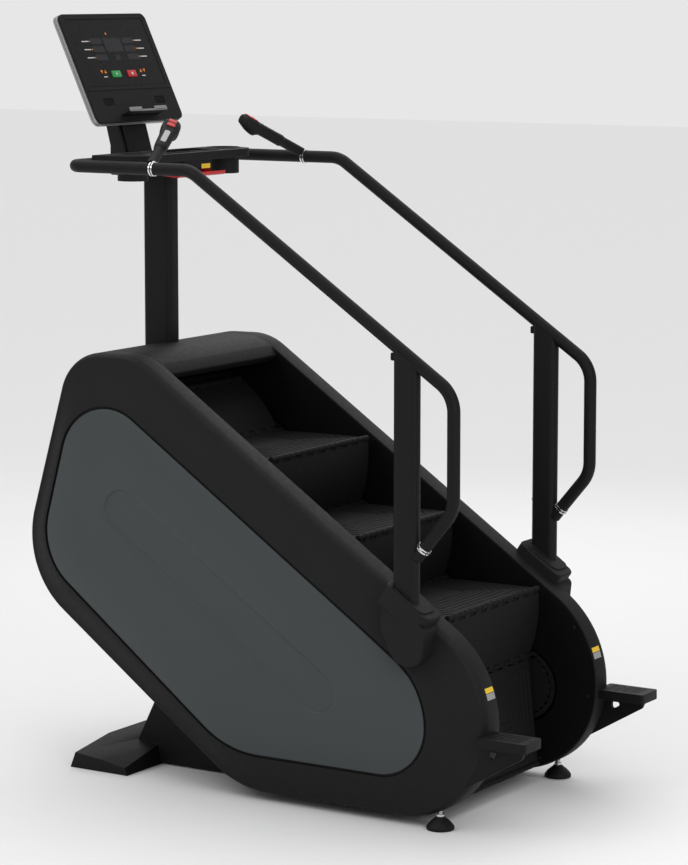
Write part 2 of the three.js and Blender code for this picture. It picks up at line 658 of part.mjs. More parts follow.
function grip(hand, side) {
  const start = new THREE.Vector3(-957, side * 379, 1859);
  const end = new THREE.Vector3(-1025, side * 184, 1957);
  const axis = end.clone().sub(start);
  const length = axis.length();
  axis.normalize();
  const facing = new THREE.Vector3(GRIP_FACE[0], side * GRIP_FACE[1], GRIP_FACE[2]);
  const flat = facing.clone().addScaledVector(axis, -axis.dot(facing)).normalize();
  const across = flat.clone().cross(axis);
  const group = new THREE.Group();
  group.position.copy(start);
  group.quaternion.setFromRotationMatrix(new THREE.Matrix4().makeBasis(across, flat, axis));
  machine.add(group);
  const ring = (z, a, b, r, low = 0) => roundRect(0, -low, a, b, r, 3).map(([x, y]) => [x, y, z]);
  const body = skin([
    ring(0, 32, 32, 15.5), ring(70, 32, 32, 15.5), ring(90, 40, 34, 12), ring(length - 66, 44, 34, 12),
    ring(length - 50, 54, 46, 14, 6), ring(length - 34, 56, 42, 14, 4), ring(length - 8, 52, 32, 14),
    ring(length, 42, 24, 11),
  ]);
  const seat = prism(roundRect(0, 0, 28.8, 40.8, 3, 2), 10, 40);
  seat.rotateX(-Math.PI / 2);
  seat.translate(0, 0, length - 28);
  add(`rail_grip_${hand}`, cut(body, seat), rubber, group);
  const key = plate([[-13, 11.2], [13, 11.2], [13, 19], [8, 20.5], [-8, 20.5], [-13, 19]], -19.5, 19.5);
  key.rotateX(-Math.PI / 2);
  key.translate(0, 0, length - 28);
  add(`rocker_key_${hand}`, key, redPlastic, group);
}

// ---- mast, tray and emergency lever --------------------------------------------------------
function tray() {
  const back = RAIL_FRONT_X + RAIL_R + GAP;
  const top = prism([
    ...arc(TRAY_X, CUP_Y, 78, 0, Math.PI / 2, 8), [back, CUP_Y + 78],
    [back, -CUP_Y - 78], ...arc(TRAY_X, -CUP_Y, 78, 1.5 * Math.PI, 2 * Math.PI, 8),
  ], 1841, TRAY_Z);
  const cups = [-1, 1].map((side) => prism(circle(TRAY_X, side * CUP_Y, 46), 1788, 1850));
  const box = prism(roundRect(-1132, 0, 144, 150, 10, 3), 1812 + GAP, 1850);
  const wells = [-1, 1].map((side) => prism(circle(TRAY_X, side * CUP_Y, 41), 1793, 1900));
  const dish = prism(roundRect(TRAY_X, 0, 100, 250, 16, 3), 1853, 1900);
  add('console_tray', cut(join(top, ...cups, box), ...wells, dish), blackShell);
  const lever = plate([
    ...arc(-1105, 1803, 6, Math.PI / 2, 1.5 * Math.PI, 6), [-1052, 1792], [-1046, 1796],
    [-1046, 1805], [-1050, 1805], [-1054, 1798], [-1098, 1801],
  ], -122, 122);
  add('emergency_lever', lever, redPlastic);
}

function mast() {
  const section = roundRect(MAST_X, 0, 100, 60, 17, 3);
  add('mast', prism(section, 1172, 1789.6, [roundRect(MAST_X, 0, 92, 52, 13, 3).reverse()]), blackSteel);
  add('console_neck', plate([
    [-1345, 1790], [-1155, 1790], [-1155, 1812], [-1272, 1812], [-1291, 1884], [-1316, 1950],
    [-1363, 1950], [-1345, 1880],
  ], -66, 66), blackShell);
}

// ---- console ------------------------------------------------------------------------------
const CONSOLE_UP = new THREE.Vector3(-0.4272, 0, 0.9042);
const CONSOLE_CENTRE = [-1345, 0, 2116];
const CONSOLE_W = 444;
const CONSOLE_H = 361;
const WINDOW_Y = 50;             // middle of the display above the console's middle
const KEY_X = 40;
const KEY_Y = -22;
const KEY_W = 44;
const KEY_H = 22;
const LEDGE_DEPTH = 38;

function consoleHead() {
  const head = new THREE.Group();
  const right = new THREE.Vector3(0, 1, 0);
  const normal = right.clone().cross(CONSOLE_UP);
  head.quaternion.setFromRotationMatrix(new THREE.Matrix4().makeBasis(right, CONSOLE_UP, normal));
  head.position.set(...CONSOLE_CENTRE);
  machine.add(head);
  const slab = (w, h, r, z0, z1, cy = 0, cx = 0) => prism(roundRect(cx, cy, w, h, r, 4), z0, z1);
  const trim = cut(slab(CONSOLE_W, CONSOLE_H, 24, -26, -9), slab(CONSOLE_W - 14, CONSOLE_H - 14, 18, -40, 0));
  add('console_trim', trim, silver, head);
  const back = skin([
    ring3(CONSOLE_W - 15, CONSOLE_H - 15, 17, -9.4), ring3(CONSOLE_W - 15, CONSOLE_H - 15, 17, -27),
    ring3(CONSOLE_W - 110, CONSOLE_H - 100, 30, -44),
  ]);
  add('console_back', back, blackShell, head);
  const keys = [['start_key', -KEY_X, greenPlastic], ['stop_key', KEY_X, redPlastic]];
  const face = slab(CONSOLE_W - 4, CONSOLE_H - 4, 22, -8.6, 0);
  const window = slab(394, 222, 8, -3.6, 20, WINDOW_Y);
  const wells = keys.map(([, x]) => slab(KEY_W + 2, KEY_H + 2, 3, -6.5, 20, KEY_Y, x));
  const speakers = [-1, 1].map((s) => slab(46, 22, 6, -3, 20, -112, s * 132));
  add('console_bezel', cut(face, window, ...wells, ...speakers), blackShell, head);
  const overlay = cut(slab(392, 220, 7, -3.2, -1, WINDOW_Y), ...wells);
  add('console_overlay', overlay, darkGlass, head);
  keys.forEach(([name, x, material]) => {
    add(name, slab(KEY_W, KEY_H, 3, -3.5, 1.5, KEY_Y, x), material, head);
  });
  const shelf = slab(190, 5, 2, GAP, LEDGE_DEPTH, -158);
  const lip = slab(190, 14, 2, LEDGE_DEPTH - 4, LEDGE_DEPTH, -153.5);
  add('device_ledge', join(shelf, lip), silver, head);
}

const ring3 = (w, h, r, z) => roundRect(0, 0, w, h, r, 4).map(([x, y]) => [x, y, z]);

staircase();
drive();
base();
casing();
rails();
[['left', -1], ['right', 1]].forEach(([hand, side]) => grip(hand, side));
mast();
tray();
consoleHead();

// The origin is at floor level in the middle of the machine.
machine.updateMatrixWorld(true);
const bounds = new THREE.Box3().setFromObject(machine, true);
machine.position.x = -(bounds.min.x + bounds.max.x) / 2;

export default machine;
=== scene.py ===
import json
import math

import bmesh
import bpy
from mathutils import Matrix, Vector


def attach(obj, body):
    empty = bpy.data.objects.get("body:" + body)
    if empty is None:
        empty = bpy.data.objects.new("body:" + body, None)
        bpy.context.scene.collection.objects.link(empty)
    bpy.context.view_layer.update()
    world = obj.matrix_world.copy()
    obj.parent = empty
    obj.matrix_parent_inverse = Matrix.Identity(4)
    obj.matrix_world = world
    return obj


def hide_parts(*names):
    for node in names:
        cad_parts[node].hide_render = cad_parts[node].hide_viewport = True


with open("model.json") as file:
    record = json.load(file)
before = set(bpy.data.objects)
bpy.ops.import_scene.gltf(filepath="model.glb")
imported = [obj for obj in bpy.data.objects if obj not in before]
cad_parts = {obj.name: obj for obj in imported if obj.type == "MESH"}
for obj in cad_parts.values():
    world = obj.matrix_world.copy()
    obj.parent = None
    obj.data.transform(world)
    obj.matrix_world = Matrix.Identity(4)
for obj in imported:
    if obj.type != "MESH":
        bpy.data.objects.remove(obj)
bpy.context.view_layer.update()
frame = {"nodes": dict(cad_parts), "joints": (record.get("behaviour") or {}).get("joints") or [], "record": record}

# ---- the design's own millimetres ----
# Shapes are written in the design's millimetres: +X towards the user's end, -Y the user's left,
# the floor at Z 0. The frame's X differs by a shift, which the lower shaft's hinge gives.
LOWER_SHAFT = Vector((-93.0, 283.0))
JOINTS = {joint["name"]: joint for joint in frame["joints"]}
SHIFT = JOINTS["lower_shaft_spin"]["pos_m"][0] * 1000 - LOWER_SHAFT.x
BODY_OF = {node: body for body, nodes in frame["record"]["behaviour"]["bodies"].items() for node in nodes}
HANDS = (("left", -1), ("right", 1))

PITCH = 360.6
DOWNHILL = Vector((0.8264, -0.5631))
OUTWARD = Vector((0.5631, 0.8264))
CHAIN_R = 100.0
STEP_COUNT = 8
RUN = (STEP_COUNT * PITCH - 2 * math.pi * CHAIN_R) / 2
UPPER_SHAFT = LOWER_SHAFT - RUN * DOWNHILL
FIRST_AXLE = 28.5
TREAD_DEPTH = 328.0
RISER_HEIGHT = 208.3
STEP_HALF = 268.0
RISER_BULGE = 12.0
CASING = [(-1040, 1284, 180), (-1281, 1280, 150), (-1477, 606, 280),
          (-680, 24, 300), (157, 24, 276), (157, 473, 318)]
PANEL = [(-1217, 1223, 165), (-1370, 667, 190), (-691, 147, 310), (-25, 147, 150), (-25, 416, 230)]
SHELL_Y = 293.0
RIDGE_Y = 375.6
FACE_RISE = 28.4
# How the rim rolls into the ridge round the side face: |Y| and how far the outline has moved in.
RIM_ROLL = ((350, 0), (356, 0.6), (361, 2.0), (366, 4.2), (370, 6.6), (372.6, 8.6), (374.2, 10.3),
            (375.0, 12.4), (375.4, 14.8))
SKIN = 5.0
RAIL_R = 18.5
RAIL_Y = 403.0
RAIL_Z = 1837.0
RAIL_FRONT_X = -1245.0
RAIL_BENDS = (50.0, 95.0, 95.0, 95.0)
# The rail's corners in XZ: the two ends of its slope, the foot of its upright stretch, and its end.
RAIL_CORNERS = ((-813.0, RAIL_Z), (67.5, 1247.5), (68.0, 922.5), (-50.0, 781.0))
UPRIGHT_X = -82.0
FOOT_Y = 350.0
TRAY_X = -1132.0
CUP_Y = 240.0
MAST_X = -1202.0


def row(point):
    """A design point in millimetres as a point of the frame, in metres."""
    return Vector(((point[0] + SHIFT) / 1000, point[1] / 1000, point[2] / 1000))


# ---- materials ----
def node(tree, kind, **values):
    made = tree.nodes.new(kind)
    for name, value in values.items():
        made.inputs[name.replace("_", " ")].default_value = value
    return made


def material(name, colour, roughness, metallic=0.0, grain=900.0, bump=0.2, mottle=0.06, edge_wear_and_highlight=0.0,
             specular=0.5, coat=0.0, specks=0.5):
    """A moulded, painted or bare surface: fine grain in the bump, broad mottling in the colour,
    uneven roughness, and convex edges painted lighter: partly rubbed wear, partly a painted highlight."""
    made = bpy.data.materials.new(name)
    made.use_nodes = True
    tree = made.node_tree
    link = tree.links.new
    shader = tree.nodes["Principled BSDF"]
    shader.inputs["Metallic"].default_value = metallic
    shader.inputs["Specular IOR Level"].default_value = specular
    shader.inputs["Coat Weight"].default_value = coat
    place = tree.nodes.new("ShaderNodeTexCoord")
    broad = node(tree, "ShaderNodeTexNoise", Scale=6.0, Detail=4.0)
    middle = node(tree, "ShaderNodeTexNoise", Scale=70.0, Detail=5.0)
    fine = node(tree, "ShaderNodeTexNoise", Scale=grain, Detail=2.0)
    for noise in (broad, middle, fine):
        link(place.outputs["Object"], noise.inputs["Vector"])
    tint = tree.nodes.new("ShaderNodeMix")
    tint.data_type = "RGBA"
    tint.inputs["A"].default_value = (*[c * (1 - mottle) for c in colour], 1)
    tint.inputs["B"].default_value = (*[min(c * (1 + mottle), 1) for c in colour], 1)
    link(broad.outputs["Fac"], tint.inputs["Factor"])
    speck = tree.nodes.new("ShaderNodeMix")
    speck.data_type = "RGBA"
    speck.inputs["B"].default_value = (*[min(c * 1.35 + 0.002, 1) for c in colour], 1)
    speck_amount = node(tree, "ShaderNodeMapRange", From_Min=0.55, From_Max=0.8, To_Max=specks)
    link(fine.outputs["Fac"], speck_amount.inputs["Value"])
    link(speck_amount.outputs["Result"], speck.inputs["Factor"])
    link(tint.outputs["Result"], speck.inputs["A"])
    last = speck
    # Convex edges, found by Pointiness, get a lighter colour: partly rubbed wear, partly a painted highlight along
    # the edges.
    if edge_wear_and_highlight:
        edges = tree.nodes.new("ShaderNodeNewGeometry")
        rubbed_and_highlit_edges = node(tree, "ShaderNodeMapRange", From_Min=0.53, From_Max=0.62, To_Max=edge_wear_and_highlight)
        uneven = tree.nodes.new("ShaderNodeMath")
        uneven.operation = "MULTIPLY"
        last = tree.nodes.new("ShaderNodeMix")
        last.data_type = "RGBA"
        last.inputs["B"].default_value = (*[min(c * 2.2 + 0.02, 1) for c in colour], 1)
        link(edges.outputs["Pointiness"], rubbed_and_highlit_edges.inputs["Value"])
        link(rubbed_and_highlit_edges.outputs["Result"], uneven.inputs[0])
        link(middle.outputs["Fac"], uneven.inputs[1])
        link(uneven.outputs["Value"], last.inputs["Factor"])
        link(speck.outputs["Result"], last.inputs["A"])
    link(last.outputs["Result"], shader.inputs["Base Color"])
    gloss = node(tree, "ShaderNodeMapRange", From_Min=0.3, From_Max=0.7,
                 To_Min=max(roughness - 0.04, 0.03), To_Max=min(roughness + 0.05, 1))
    link(middle.outputs["Fac"], gloss.inputs["Value"])
    link(gloss.outputs["Result"], shader.inputs["Roughness"])
    relief = node(tree, "ShaderNodeBump", Strength=bump, Distance=0.0004)
    link(fine.outputs["Fac"], relief.inputs["Height"])
    link(relief.outputs["Normal"], shader.inputs["Normal"])
    return made


# In these materials the lighter convex edges are partly rubbed wear, partly a painted highlight.
SHELL = material("moulded_shell", (0.0095, 0.0095, 0.0098), 0.62, grain=800, bump=0.2, edge_wear_and_highlight=0.12,
                 specular=0.16)
SLATE = material("slate_panel_paint", (0.046, 0.0535, 0.056), 0.42, grain=1200, bump=0.1, mottle=0.03,
                 edge_wear_and_highlight=0.1, specular=0.25)
POWDER = material("black_powder_coat", (0.0052, 0.0052, 0.0055), 0.52, grain=1500, bump=0.3, edge_wear_and_highlight=0.15,
                  specular=0.16)
TREAD = material("step_plastic", (0.0068, 0.0068, 0.007), 0.68, grain=600, bump=0.25, edge_wear_and_highlight=0.12,
                 specular=0.12)
WALL = material("inner_wall_paint", (0.0025, 0.0025, 0.0026), 0.6, grain=1100, bump=0.25, specular=0.12)
STEEL = material("bare_steel", (0.26, 0.265, 0.27), 0.38, metallic=0.9, grain=300, mottle=0.2)
DARK_STEEL = material("oiled_chain_steel", (0.04, 0.04, 0.042), 0.4, metallic=0.8, grain=300, mottle=0.2)
CAST = material("cast_housing", (0.05, 0.052, 0.056), 0.65, metallic=0.4, grain=500, bump=0.6)
CHROME = material("chrome_plate", (0.7, 0.71, 0.72), 0.14, metallic=1.0, grain=400, bump=0.05)
SILVER = material("silver_trim_paint", (0.32, 0.325, 0.33), 0.35, metallic=0.6, grain=1500, bump=0.05)
RUBBER = material("black_rubber", (0.006, 0.006, 0.006), 0.6, grain=700, bump=0.35, edge_wear_and_highlight=0.15, specular=0.2)
GLASS = material("display_overlay", (0.0025, 0.0025, 0.0028), 0.3, grain=200, bump=0.0, mottle=0.02,
                 specular=0.2, specks=0.0)
WINDOW = material("display_window", (0.022, 0.022, 0.025), 0.3, grain=200, bump=0.0, mottle=0.02,
                  specular=0.2, specks=0.0)
RED = material("red_plastic", (0.5, 0.01, 0.012), 0.4, grain=900, bump=0.12, edge_wear_and_highlight=0.2)
GREEN = material("green_plastic", (0.012, 0.28, 0.055), 0.4, grain=900, bump=0.12, edge_wear_and_highlight=0.2)
ORANGE = material("orange_print", (0.75, 0.24, 0.02), 0.5, bump=0.05)
PALE = material("pale_print", (0.6, 0.6, 0.6), 0.5, bump=0.05)
YELLOW = material("yellow_sticker", (0.8, 0.52, 0.02), 0.45, bump=0.05)
GREY_STICKER = material("grey_sticker", (0.3, 0.3, 0.31), 0.45, bump=0.05)


# ---- making pieces ----
def skin(rings, tube=False):
    """A closed skin over rings of equal length, capped, or joined into a ring tube."""
    count = len(rings[0])
    verts = [point for ring in rings for point in ring]
    faces = []
    for r in range(len(rings) if tube else len(rings) - 1):
        low = r * count
        high = ((r + 1) % len(rings)) * count
        for i in range(count):
            j = (i + 1) % count
            faces.append((low + i, low + j, high + j, high + i))
    if not tube:
        last = (len(rings) - 1) * count
        faces.append(tuple(reversed(range(count))))
        faces.append(tuple(range(last, last + count)))
    return verts, faces


def together(*shapes):
    verts, faces = [], []
    for more_verts, more_faces in shapes:
        faces += [tuple(len(verts) + i for i in face) for face in more_faces]
        verts += more_verts
    return verts, faces


def clean(mesh, flat=0.0):
    """Merges doubled points, dissolves flat joins and turns every shell's faces out."""
    bm = bmesh.new()
    bm.from_mesh(mesh)
    bmesh.ops.remove_doubles(bm, verts=bm.verts, dist=2e-6)
    if flat:
        bmesh.ops.dissolve_limit(bm, angle_limit=math.radians(flat), verts=bm.verts, edges=bm.edges)
    bmesh.ops.recalc_face_normals(bm, faces=bm.faces)
    bm.to_mesh(mesh)
    bm.free()


def shade(mesh, sharp):
    mesh.polygons.foreach_set("use_smooth", [True] * len(mesh.polygons))
    mesh.set_sharp_from_angle(angle=math.radians(sharp))
    mesh.update()


def placed(name, mesh, finish, body, stands_for, bevel, sharp, segments):
    mesh.materials.clear()
    mesh.materials.append(finish)
    shade(mesh, sharp)
    obj = bpy.data.objects.new(name, mesh)
    bpy.context.scene.collection.objects.link(obj)
    if bevel:
        edge = obj.modifiers.new("rounded edges", "BEVEL")
        edge.width = bevel / 1000
        edge.segments = segments
        edge.limit_method = "ANGLE"
        edge.angle_limit = math.radians(sharp)
        edge.harden_normals = True
    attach(obj, body)
    if stands_for:
        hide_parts(*stands_for)
    return obj


def mesh_of(name, shape):
    verts, faces = shape
    mesh = bpy.data.meshes.new(name)
    mesh.from_pydata([row(point) for point in verts], [], faces)
    clean(mesh)
    return mesh


def piece(name, shape, finish, body="machine", stands_for=(), bevel=0.0, sharp=32, segments=3):
    return placed(name, mesh_of(name, shape), finish, body, stands_for, bevel, sharp, segments)


def softened(node_name, finish, bevel, name=None, sharp=32, segments=3):
    """A CAD node's own shape with its edges rounded, standing for that node."""
    mesh = frame["nodes"][node_name].data.copy()
    clean(mesh, flat=1.0)
    return placed(name or node_name + "_moulded", mesh, finish, BODY_OF[node_name], (node_name,),
                  bevel, sharp, segments)


def carved(obj, shapes, operation="DIFFERENCE"):
    """Cuts shapes out of a piece, or joins them to it, and keeps the result as its mesh."""
    cutters = []
    for number, shape in enumerate(shapes):
        cutter = bpy.data.objects.new("cutter", mesh_of("cutter", shape))
        bpy.context.scene.collection.objects.link(cutter)
        cutters.append(cutter)
        step = obj.modifiers.new(f"carve {number}", "BOOLEAN")
        step.operation = operation
        step.object = cutter
        step.solver = "EXACT"
    rounding = [m for m in obj.modifiers if m.type == "BEVEL"]
    for m in rounding:
        m.show_viewport = False
    bpy.context.view_layer.update()
    graph = bpy.context.evaluated_depsgraph_get()
    result = bpy.data.meshes.new_from_object(obj.evaluated_get(graph))
    for m in rounding:
        m.show_viewport = True
    for m in [m for m in obj.modifiers if m.type == "BOOLEAN"]:
        obj.modifiers.remove(m)
    obj.data = result
    clean(obj.data, flat=0.5)
    shade(obj.data, 32)
    for cutter in cutters:
        bpy.data.objects.remove(cutter)
    return obj


# ---- outlines and sweeps ----
BEND_STEPS = 24


def rounded(corners, inset=0.0, steps=BEND_STEPS, closed=True):
    """A path of (a, b, radius) corners with round bends, moved inwards by inset if it is closed."""
    count = len(corners)
    area = sum(a[0] * b[1] - b[0] * a[1] for a, b in zip(corners, corners[1:] + corners[:1]))
    points = []
    for i, (x, z, radius) in enumerate(corners):
        here = Vector((x, z))
        if not closed and i in (0, count - 1):
            points.append(here)
            continue
        a = (here - Vector(corners[i - 1][:2])).normalized()
        b = (Vector(corners[(i + 1) % count][:2]) - here).normalized()
        angle = math.atan2(a.x * b.y - a.y * b.x, a.dot(b))
        side = math.copysign(1, angle)
        inward = Vector((-a.y, a.x)) * side
        centre = here - a * radius * math.tan(abs(angle) / 2) + inward * radius
        reach = max(radius - inset * side * math.copysign(1, area), 0.2)
        start = math.atan2(-inward.y, -inward.x)
        for k in range(steps + 1):
            bearing = start + angle * k / steps
            points.append(centre + reach * Vector((math.cos(bearing), math.sin(bearing))))
    return points


def arc(x, z, radius, start, end, steps):
    return [Vector((x + radius * math.cos(start + (end - start) * k / steps),
                    z + radius * math.sin(start + (end - start) * k / steps)))
            for k in range(steps + 1)]


def circle(x, z, radius, sides=48):
    return arc(x, z, radius, 0, 2 * math.pi, sides)[:-1]


def box_outline(cx, cy, width, height, radius, steps=8):
    a, b = width / 2, height / 2
    return rounded([(cx + a, cy - b, radius), (cx + a, cy + b, radius),
                    (cx - a, cy + b, radius), (cx - a, cy - b, radius)], steps=steps)


def stadium(a, b, radius, steps=24):
    """The outline round two circles of one radius."""
    aim = math.atan2(b[1] - a[1], b[0] - a[0])
    quarter = math.pi / 2
    return (arc(a[0], a[1], radius, aim + quarter, aim + 3 * quarter, steps)
            + arc(b[0], b[1], radius, aim - quarter, aim + quarter, steps))


def along_y(outline, y0, y1):
    return skin([[(p[0], y, p[1]) for p in outline] for y in (y0, y1)])


def along_z(outline, z0, z1):
    return skin([[(p[0], p[1], z) for p in outline] for z in (z0, z1)])


def ribbon(path, thickness):
    """The closed outline of a strip: the path, and the path moved to its right by a thickness."""
    moved = []
    for i, p in enumerate(path):
        before = (p - path[i - 1]).normalized() if i else None
        after = (path[i + 1] - p).normalized() if i + 1 < len(path) else None
        tangent = ((before or after) + (after or before)).normalized()
        mitre = 1 / max(tangent.dot(after or before), 0.3)
        moved.append(p + Vector((tangent.y, -tangent.x)) * thickness * mitre)
    return list(path) + moved[::-1]


def lathe(x, y, profile, sides=48):
    """A turned shape about a vertical axis, from (radius, z) points."""
    rings = []
    for radius, z in profile:
        rings.append([(x + radius * math.cos(2 * math.pi * k / sides),
                       y + radius * math.sin(2 * math.pi * k / sides), z) for k in range(sides)])
    return skin(rings)


def frames_along(points):
    """A tangent and two crosswise directions at each point of a path, without twist."""
    count = len(points)
    tangents = [(points[min(i + 1, count - 1)] - points[max(i - 1, 0)]).normalized() for i in range(count)]
    first = tangents[0].orthogonal().normalized()
    frames = []
    for tangent in tangents:
        first = (first - tangent * first.dot(tangent)).normalized()
        frames.append((tangent, first, tangent.cross(first)))
    return frames


def tube(points, radius, sides=32, tip=0.0):
    """A round tube along a path, with its end edges rounded by tip."""
    rings = []
    frames = frames_along(points)
    stations = [(points[0], frames[0], radius - tip)] if tip else []
    stations += [(p + f[0] * tip * (i == 0) - f[0] * tip * (i == len(points) - 1), f, radius)
                 for i, (p, f) in enumerate(zip(points, frames))]
    if tip:
        stations.append((points[-1], frames[-1], radius - tip))
    for point, (_, across, over), r in stations:
        rings.append([point + r * (math.cos(2 * math.pi * k / sides) * across
                                   + math.sin(2 * math.pi * k / sides) * over) for k in range(sides)])
    return skin(rings)


def bent(points, bends, steps=14):
    """A path of straight lines with round bends in space, one radius for each inner point."""
    points = [Vector(p) for p in points]
    path = [points[0]]
    for i in range(1, len(points) - 1):
        corner = points[i]
        a = (corner - points[i - 1]).normalized()
        b = (points[i + 1] - corner).normalized()
        angle = a.angle(b)
        bend = bends[i - 1]
        trim = bend * math.tan(angle / 2)
        start = corner - a * trim
        normal = (b - a * a.dot(b)).normalized()
        centre = start + normal * bend
        for k in range(steps + 1):
            turn = angle * k / steps
            path.append(centre - normal * bend * math.cos(turn) + a * bend * math.sin(turn))
    return path + [points[-1]]


def ring_round(centre, axis, along, radii):
    """A ring of points round an axis, at a distance along it, one radius for each point."""
    axis = Vector(axis).normalized()
    across = axis.orthogonal().normalized()
    over = axis.cross(across)
    turns = [2 * math.pi * k / len(radii) for k in range(len(radii))]
    return [Vector(centre) + axis * along + r * (math.cos(turn) * across + math.sin(turn) * over)
            for turn, r in zip(turns, radii)]


def collar_ring(centre, axis, inner, outer, width, sides=48):
    """A band round a tube."""
    profile = ((inner, -width / 2), (outer, -width / 2), (outer, width / 2), (inner, width / 2))
    return skin([ring_round(centre, axis, along, [r] * sides) for r, along in profile], tube=True)


def screw(centre, axis, radius, height, sides=48):
    """A domed screw head with a hexagon socket, standing on a surface."""
    sixth = math.pi / 3
    flats = [math.cos(sixth / 2) / math.cos((2 * math.pi * k / sides) % sixth - sixth / 2)
             for k in range(sides)]
    head = ((1.0, 0.0), (1.0, 0.45), (0.9, 0.8), (0.62, 1.0))
    socket = ((0.5, 1.0), (0.45, 0.3))
    rings = [ring_round(centre, axis, up * height, [radius * share] * sides) for share, up in head]
    rings += [ring_round(centre, axis, up * height, [radius * share * flat for flat in flats])
              for share, up in socket]
    return skin(rings)


# ---- the staircase ----
def chain_point(distance, radius=CHAIN_R):
    """Point of the endless chain at a distance uphill of the tangent above the lower shaft."""
    s = distance % (STEP_COUNT * PITCH)
    half = math.pi * CHAIN_R
    tilt = math.atan2(OUTWARD.y, OUTWARD.x)

    def place(centre, bearing):
        return centre + radius * Vector((math.cos(bearing), math.sin(bearing)))

    if s <= RUN:
        return place(LOWER_SHAFT, tilt) - s * DOWNHILL
    if s <= RUN + half:
        return place(UPPER_SHAFT, tilt + (s - RUN) / CHAIN_R)
    if s <= 2 * RUN + half:
        return place(UPPER_SHAFT, tilt + math.pi) + (s - RUN - half) * DOWNHILL
    return place(LOWER_SHAFT, tilt + math.pi + (s - 2 * RUN - half) / CHAIN_R)


def axle(k):
    return chain_point(FIRST_AXLE + k * PITCH)


def nosing(k):
    """Where a tread and the riser below it meet."""
    back, foot = axle(k), axle(k - 1)
    span = (foot - back).length
    d = (foot - back) / span
    along = (TREAD_DEPTH ** 2 - RISER_HEIGHT ** 2 + span ** 2) / (2 * span)
    out = math.sqrt(TREAD_DEPTH ** 2 - along ** 2)
    return back + along * d + out * Vector((-d.y, d.x))


def between(start, end, side):
    """Maps (along, outwards) from one pivot to another into XZ."""
    d = (end - start).normalized()
    n = Vector((-d.y, d.x)) * side
    return lambda a, b: start + a * d + b * n


KNUCKLES = 17
KNUCKLE_GAP = 1.0
KNUCKLE_R = 8.0
RIB_COUNT = 7
RIB_PITCH = 22.0


def knuckle_spans(odd):
    """The (y0, y1) spans of one half of a hinge's interleaved knuckles."""
    width = 2 * (STEP_HALF - 1) / KNUCKLES
    spans = [(-STEP_HALF + 1 + i * width, -STEP_HALF + 1 + (i + 1) * width) for i in range(KNUCKLES)]
    return [(a + KNUCKLE_GAP, b - KNUCKLE_GAP) for i, (a, b) in enumerate(spans) if i % 2 == odd]


def knuckles(pivot, at, odd, reach, low, high):
    """Hinge knuckles round a pivot, each with a web out to the plate that it belongs to."""
    shapes = []
    for y0, y1 in knuckle_spans(odd):
        shapes.append(along_y(circle(pivot.x, pivot.y, KNUCKLE_R, 24), y0, y1))
        web = [at(0, low), at(reach, low), at(reach, high), at(0, high)]
        shapes.append(along_y(web, y0, y1))
    return shapes


def rib(at, number):
    """One rib of a tread: a U whose middle runs beside the nosing and whose arms run to the back."""
    inset = 20 + number * RIB_PITCH
    half = STEP_HALF - 14 - number * RIB_PITCH
    bend = max(70 - number * 7, 20)
    back = TREAD_DEPTH - 34
    path = rounded([(back, -half, 0), (inset, -half, bend), (inset, half, bend), (back, half, 0)],
                   steps=10, closed=False)
    section = [(-5, -0.5), (-4.2, 1.4), (-2.2, 2.6), (2.2, 2.6), (4.2, 1.4), (5, -0.5)]
    rings = []
    for i, p in enumerate(path):
        tangent = (path[min(i + 1, len(path) - 1)] - path[max(i - 1, 0)]).normalized()
        side = Vector((-tangent.y, tangent.x))
        ring = []
        for across, up in section:
            a = p.x + side.x * across
            xz = at(a, 1 + up)
            ring.append((xz.x, p.y + side.y * across, xz.y))
        rings.append(ring)
    return skin(rings)


def tread_shape(k, open_back=False):
    at = between(nosing(k), axle(k), -1)
    back = 30 if open_back else 12
    outline = [at(9, -9), at(9, 0), at(11, 1), at(TREAD_DEPTH - back, 1), at(TREAD_DEPTH - back, -5),
               at(TREAD_DEPTH - 60, -18), at(60, -18), at(30, -10)]
    shapes = [along_y(outline, -STEP_HALF, STEP_HALF)]
    shapes += knuckles(nosing(k), at, 0, 12, -KNUCKLE_R, 1)
    if not open_back:
        back_at = between(axle(k), nosing(k), 1)
        shapes += knuckles(axle(k), back_at, 0, 13, -5, 1)
    shapes += [rib(at, number) for number in range(RIB_COUNT)]
    return together(*shapes)


def riser_shape(k):
    top, foot = nosing(k), axle(k - 1)
    at = between(top, foot, 1)
    steps = 24

    def bow(a):
        return RISER_BULGE * math.sin(math.pi * a / RISER_HEIGHT)

    span = [14 + (RISER_HEIGHT - 28) * i / steps for i in range(steps + 1)]
    outline = [at(a, 4 + bow(a)) for a in span] + [at(a, -4 + bow(a)) for a in reversed(span)]
    shapes = [along_y(outline, -STEP_HALF, STEP_HALF)]
    shapes += knuckles(top, at, 1, 15, -3, 6)
    shapes += knuckles(foot, between(foot, top, -1), 1, 15, -3, 6)
    for start, end in ((8.6, 15), (RISER_HEIGHT - 15, RISER_HEIGHT - 8.6)):
        backing = [at(start, 3.2), at(end, 3.2), at(end, -3.4), at(start, -3.4)]
        shapes.append(along_y(backing, -STEP_HALF + 0.5, STEP_HALF - 0.5))
    for pivot, end in ((top, STEP_HALF), (foot, 298.0)):
        shapes.append(along_y(circle(pivot.x, pivot.y, 5.0, 20), -end, end))
    return together(*shapes)


def staircase():
    for k, letter in enumerate(("d", "c", "b", "a", "top")):
        piece(f"tread_plate_{letter}", tread_shape(k, open_back=k == 4), TREAD,
              BODY_OF[f"tread_{letter}"], (f"tread_{letter}",), bevel=0.8, segments=2)
        piece(f"riser_plate_{letter}", riser_shape(k), TREAD,
              BODY_OF[f"riser_{letter}"], (f"riser_{letter}",), bevel=0.8, segments=2)
    for k, place in ((7, "lower"), (6, "middle"), (5, "upper")):
        piece(f"returning_step_{place}", together(tread_shape(k, open_back=k == 7), riser_shape(k)), TREAD,
              "return_run", (f"return_step_{place}",), bevel=0.8, segments=2)


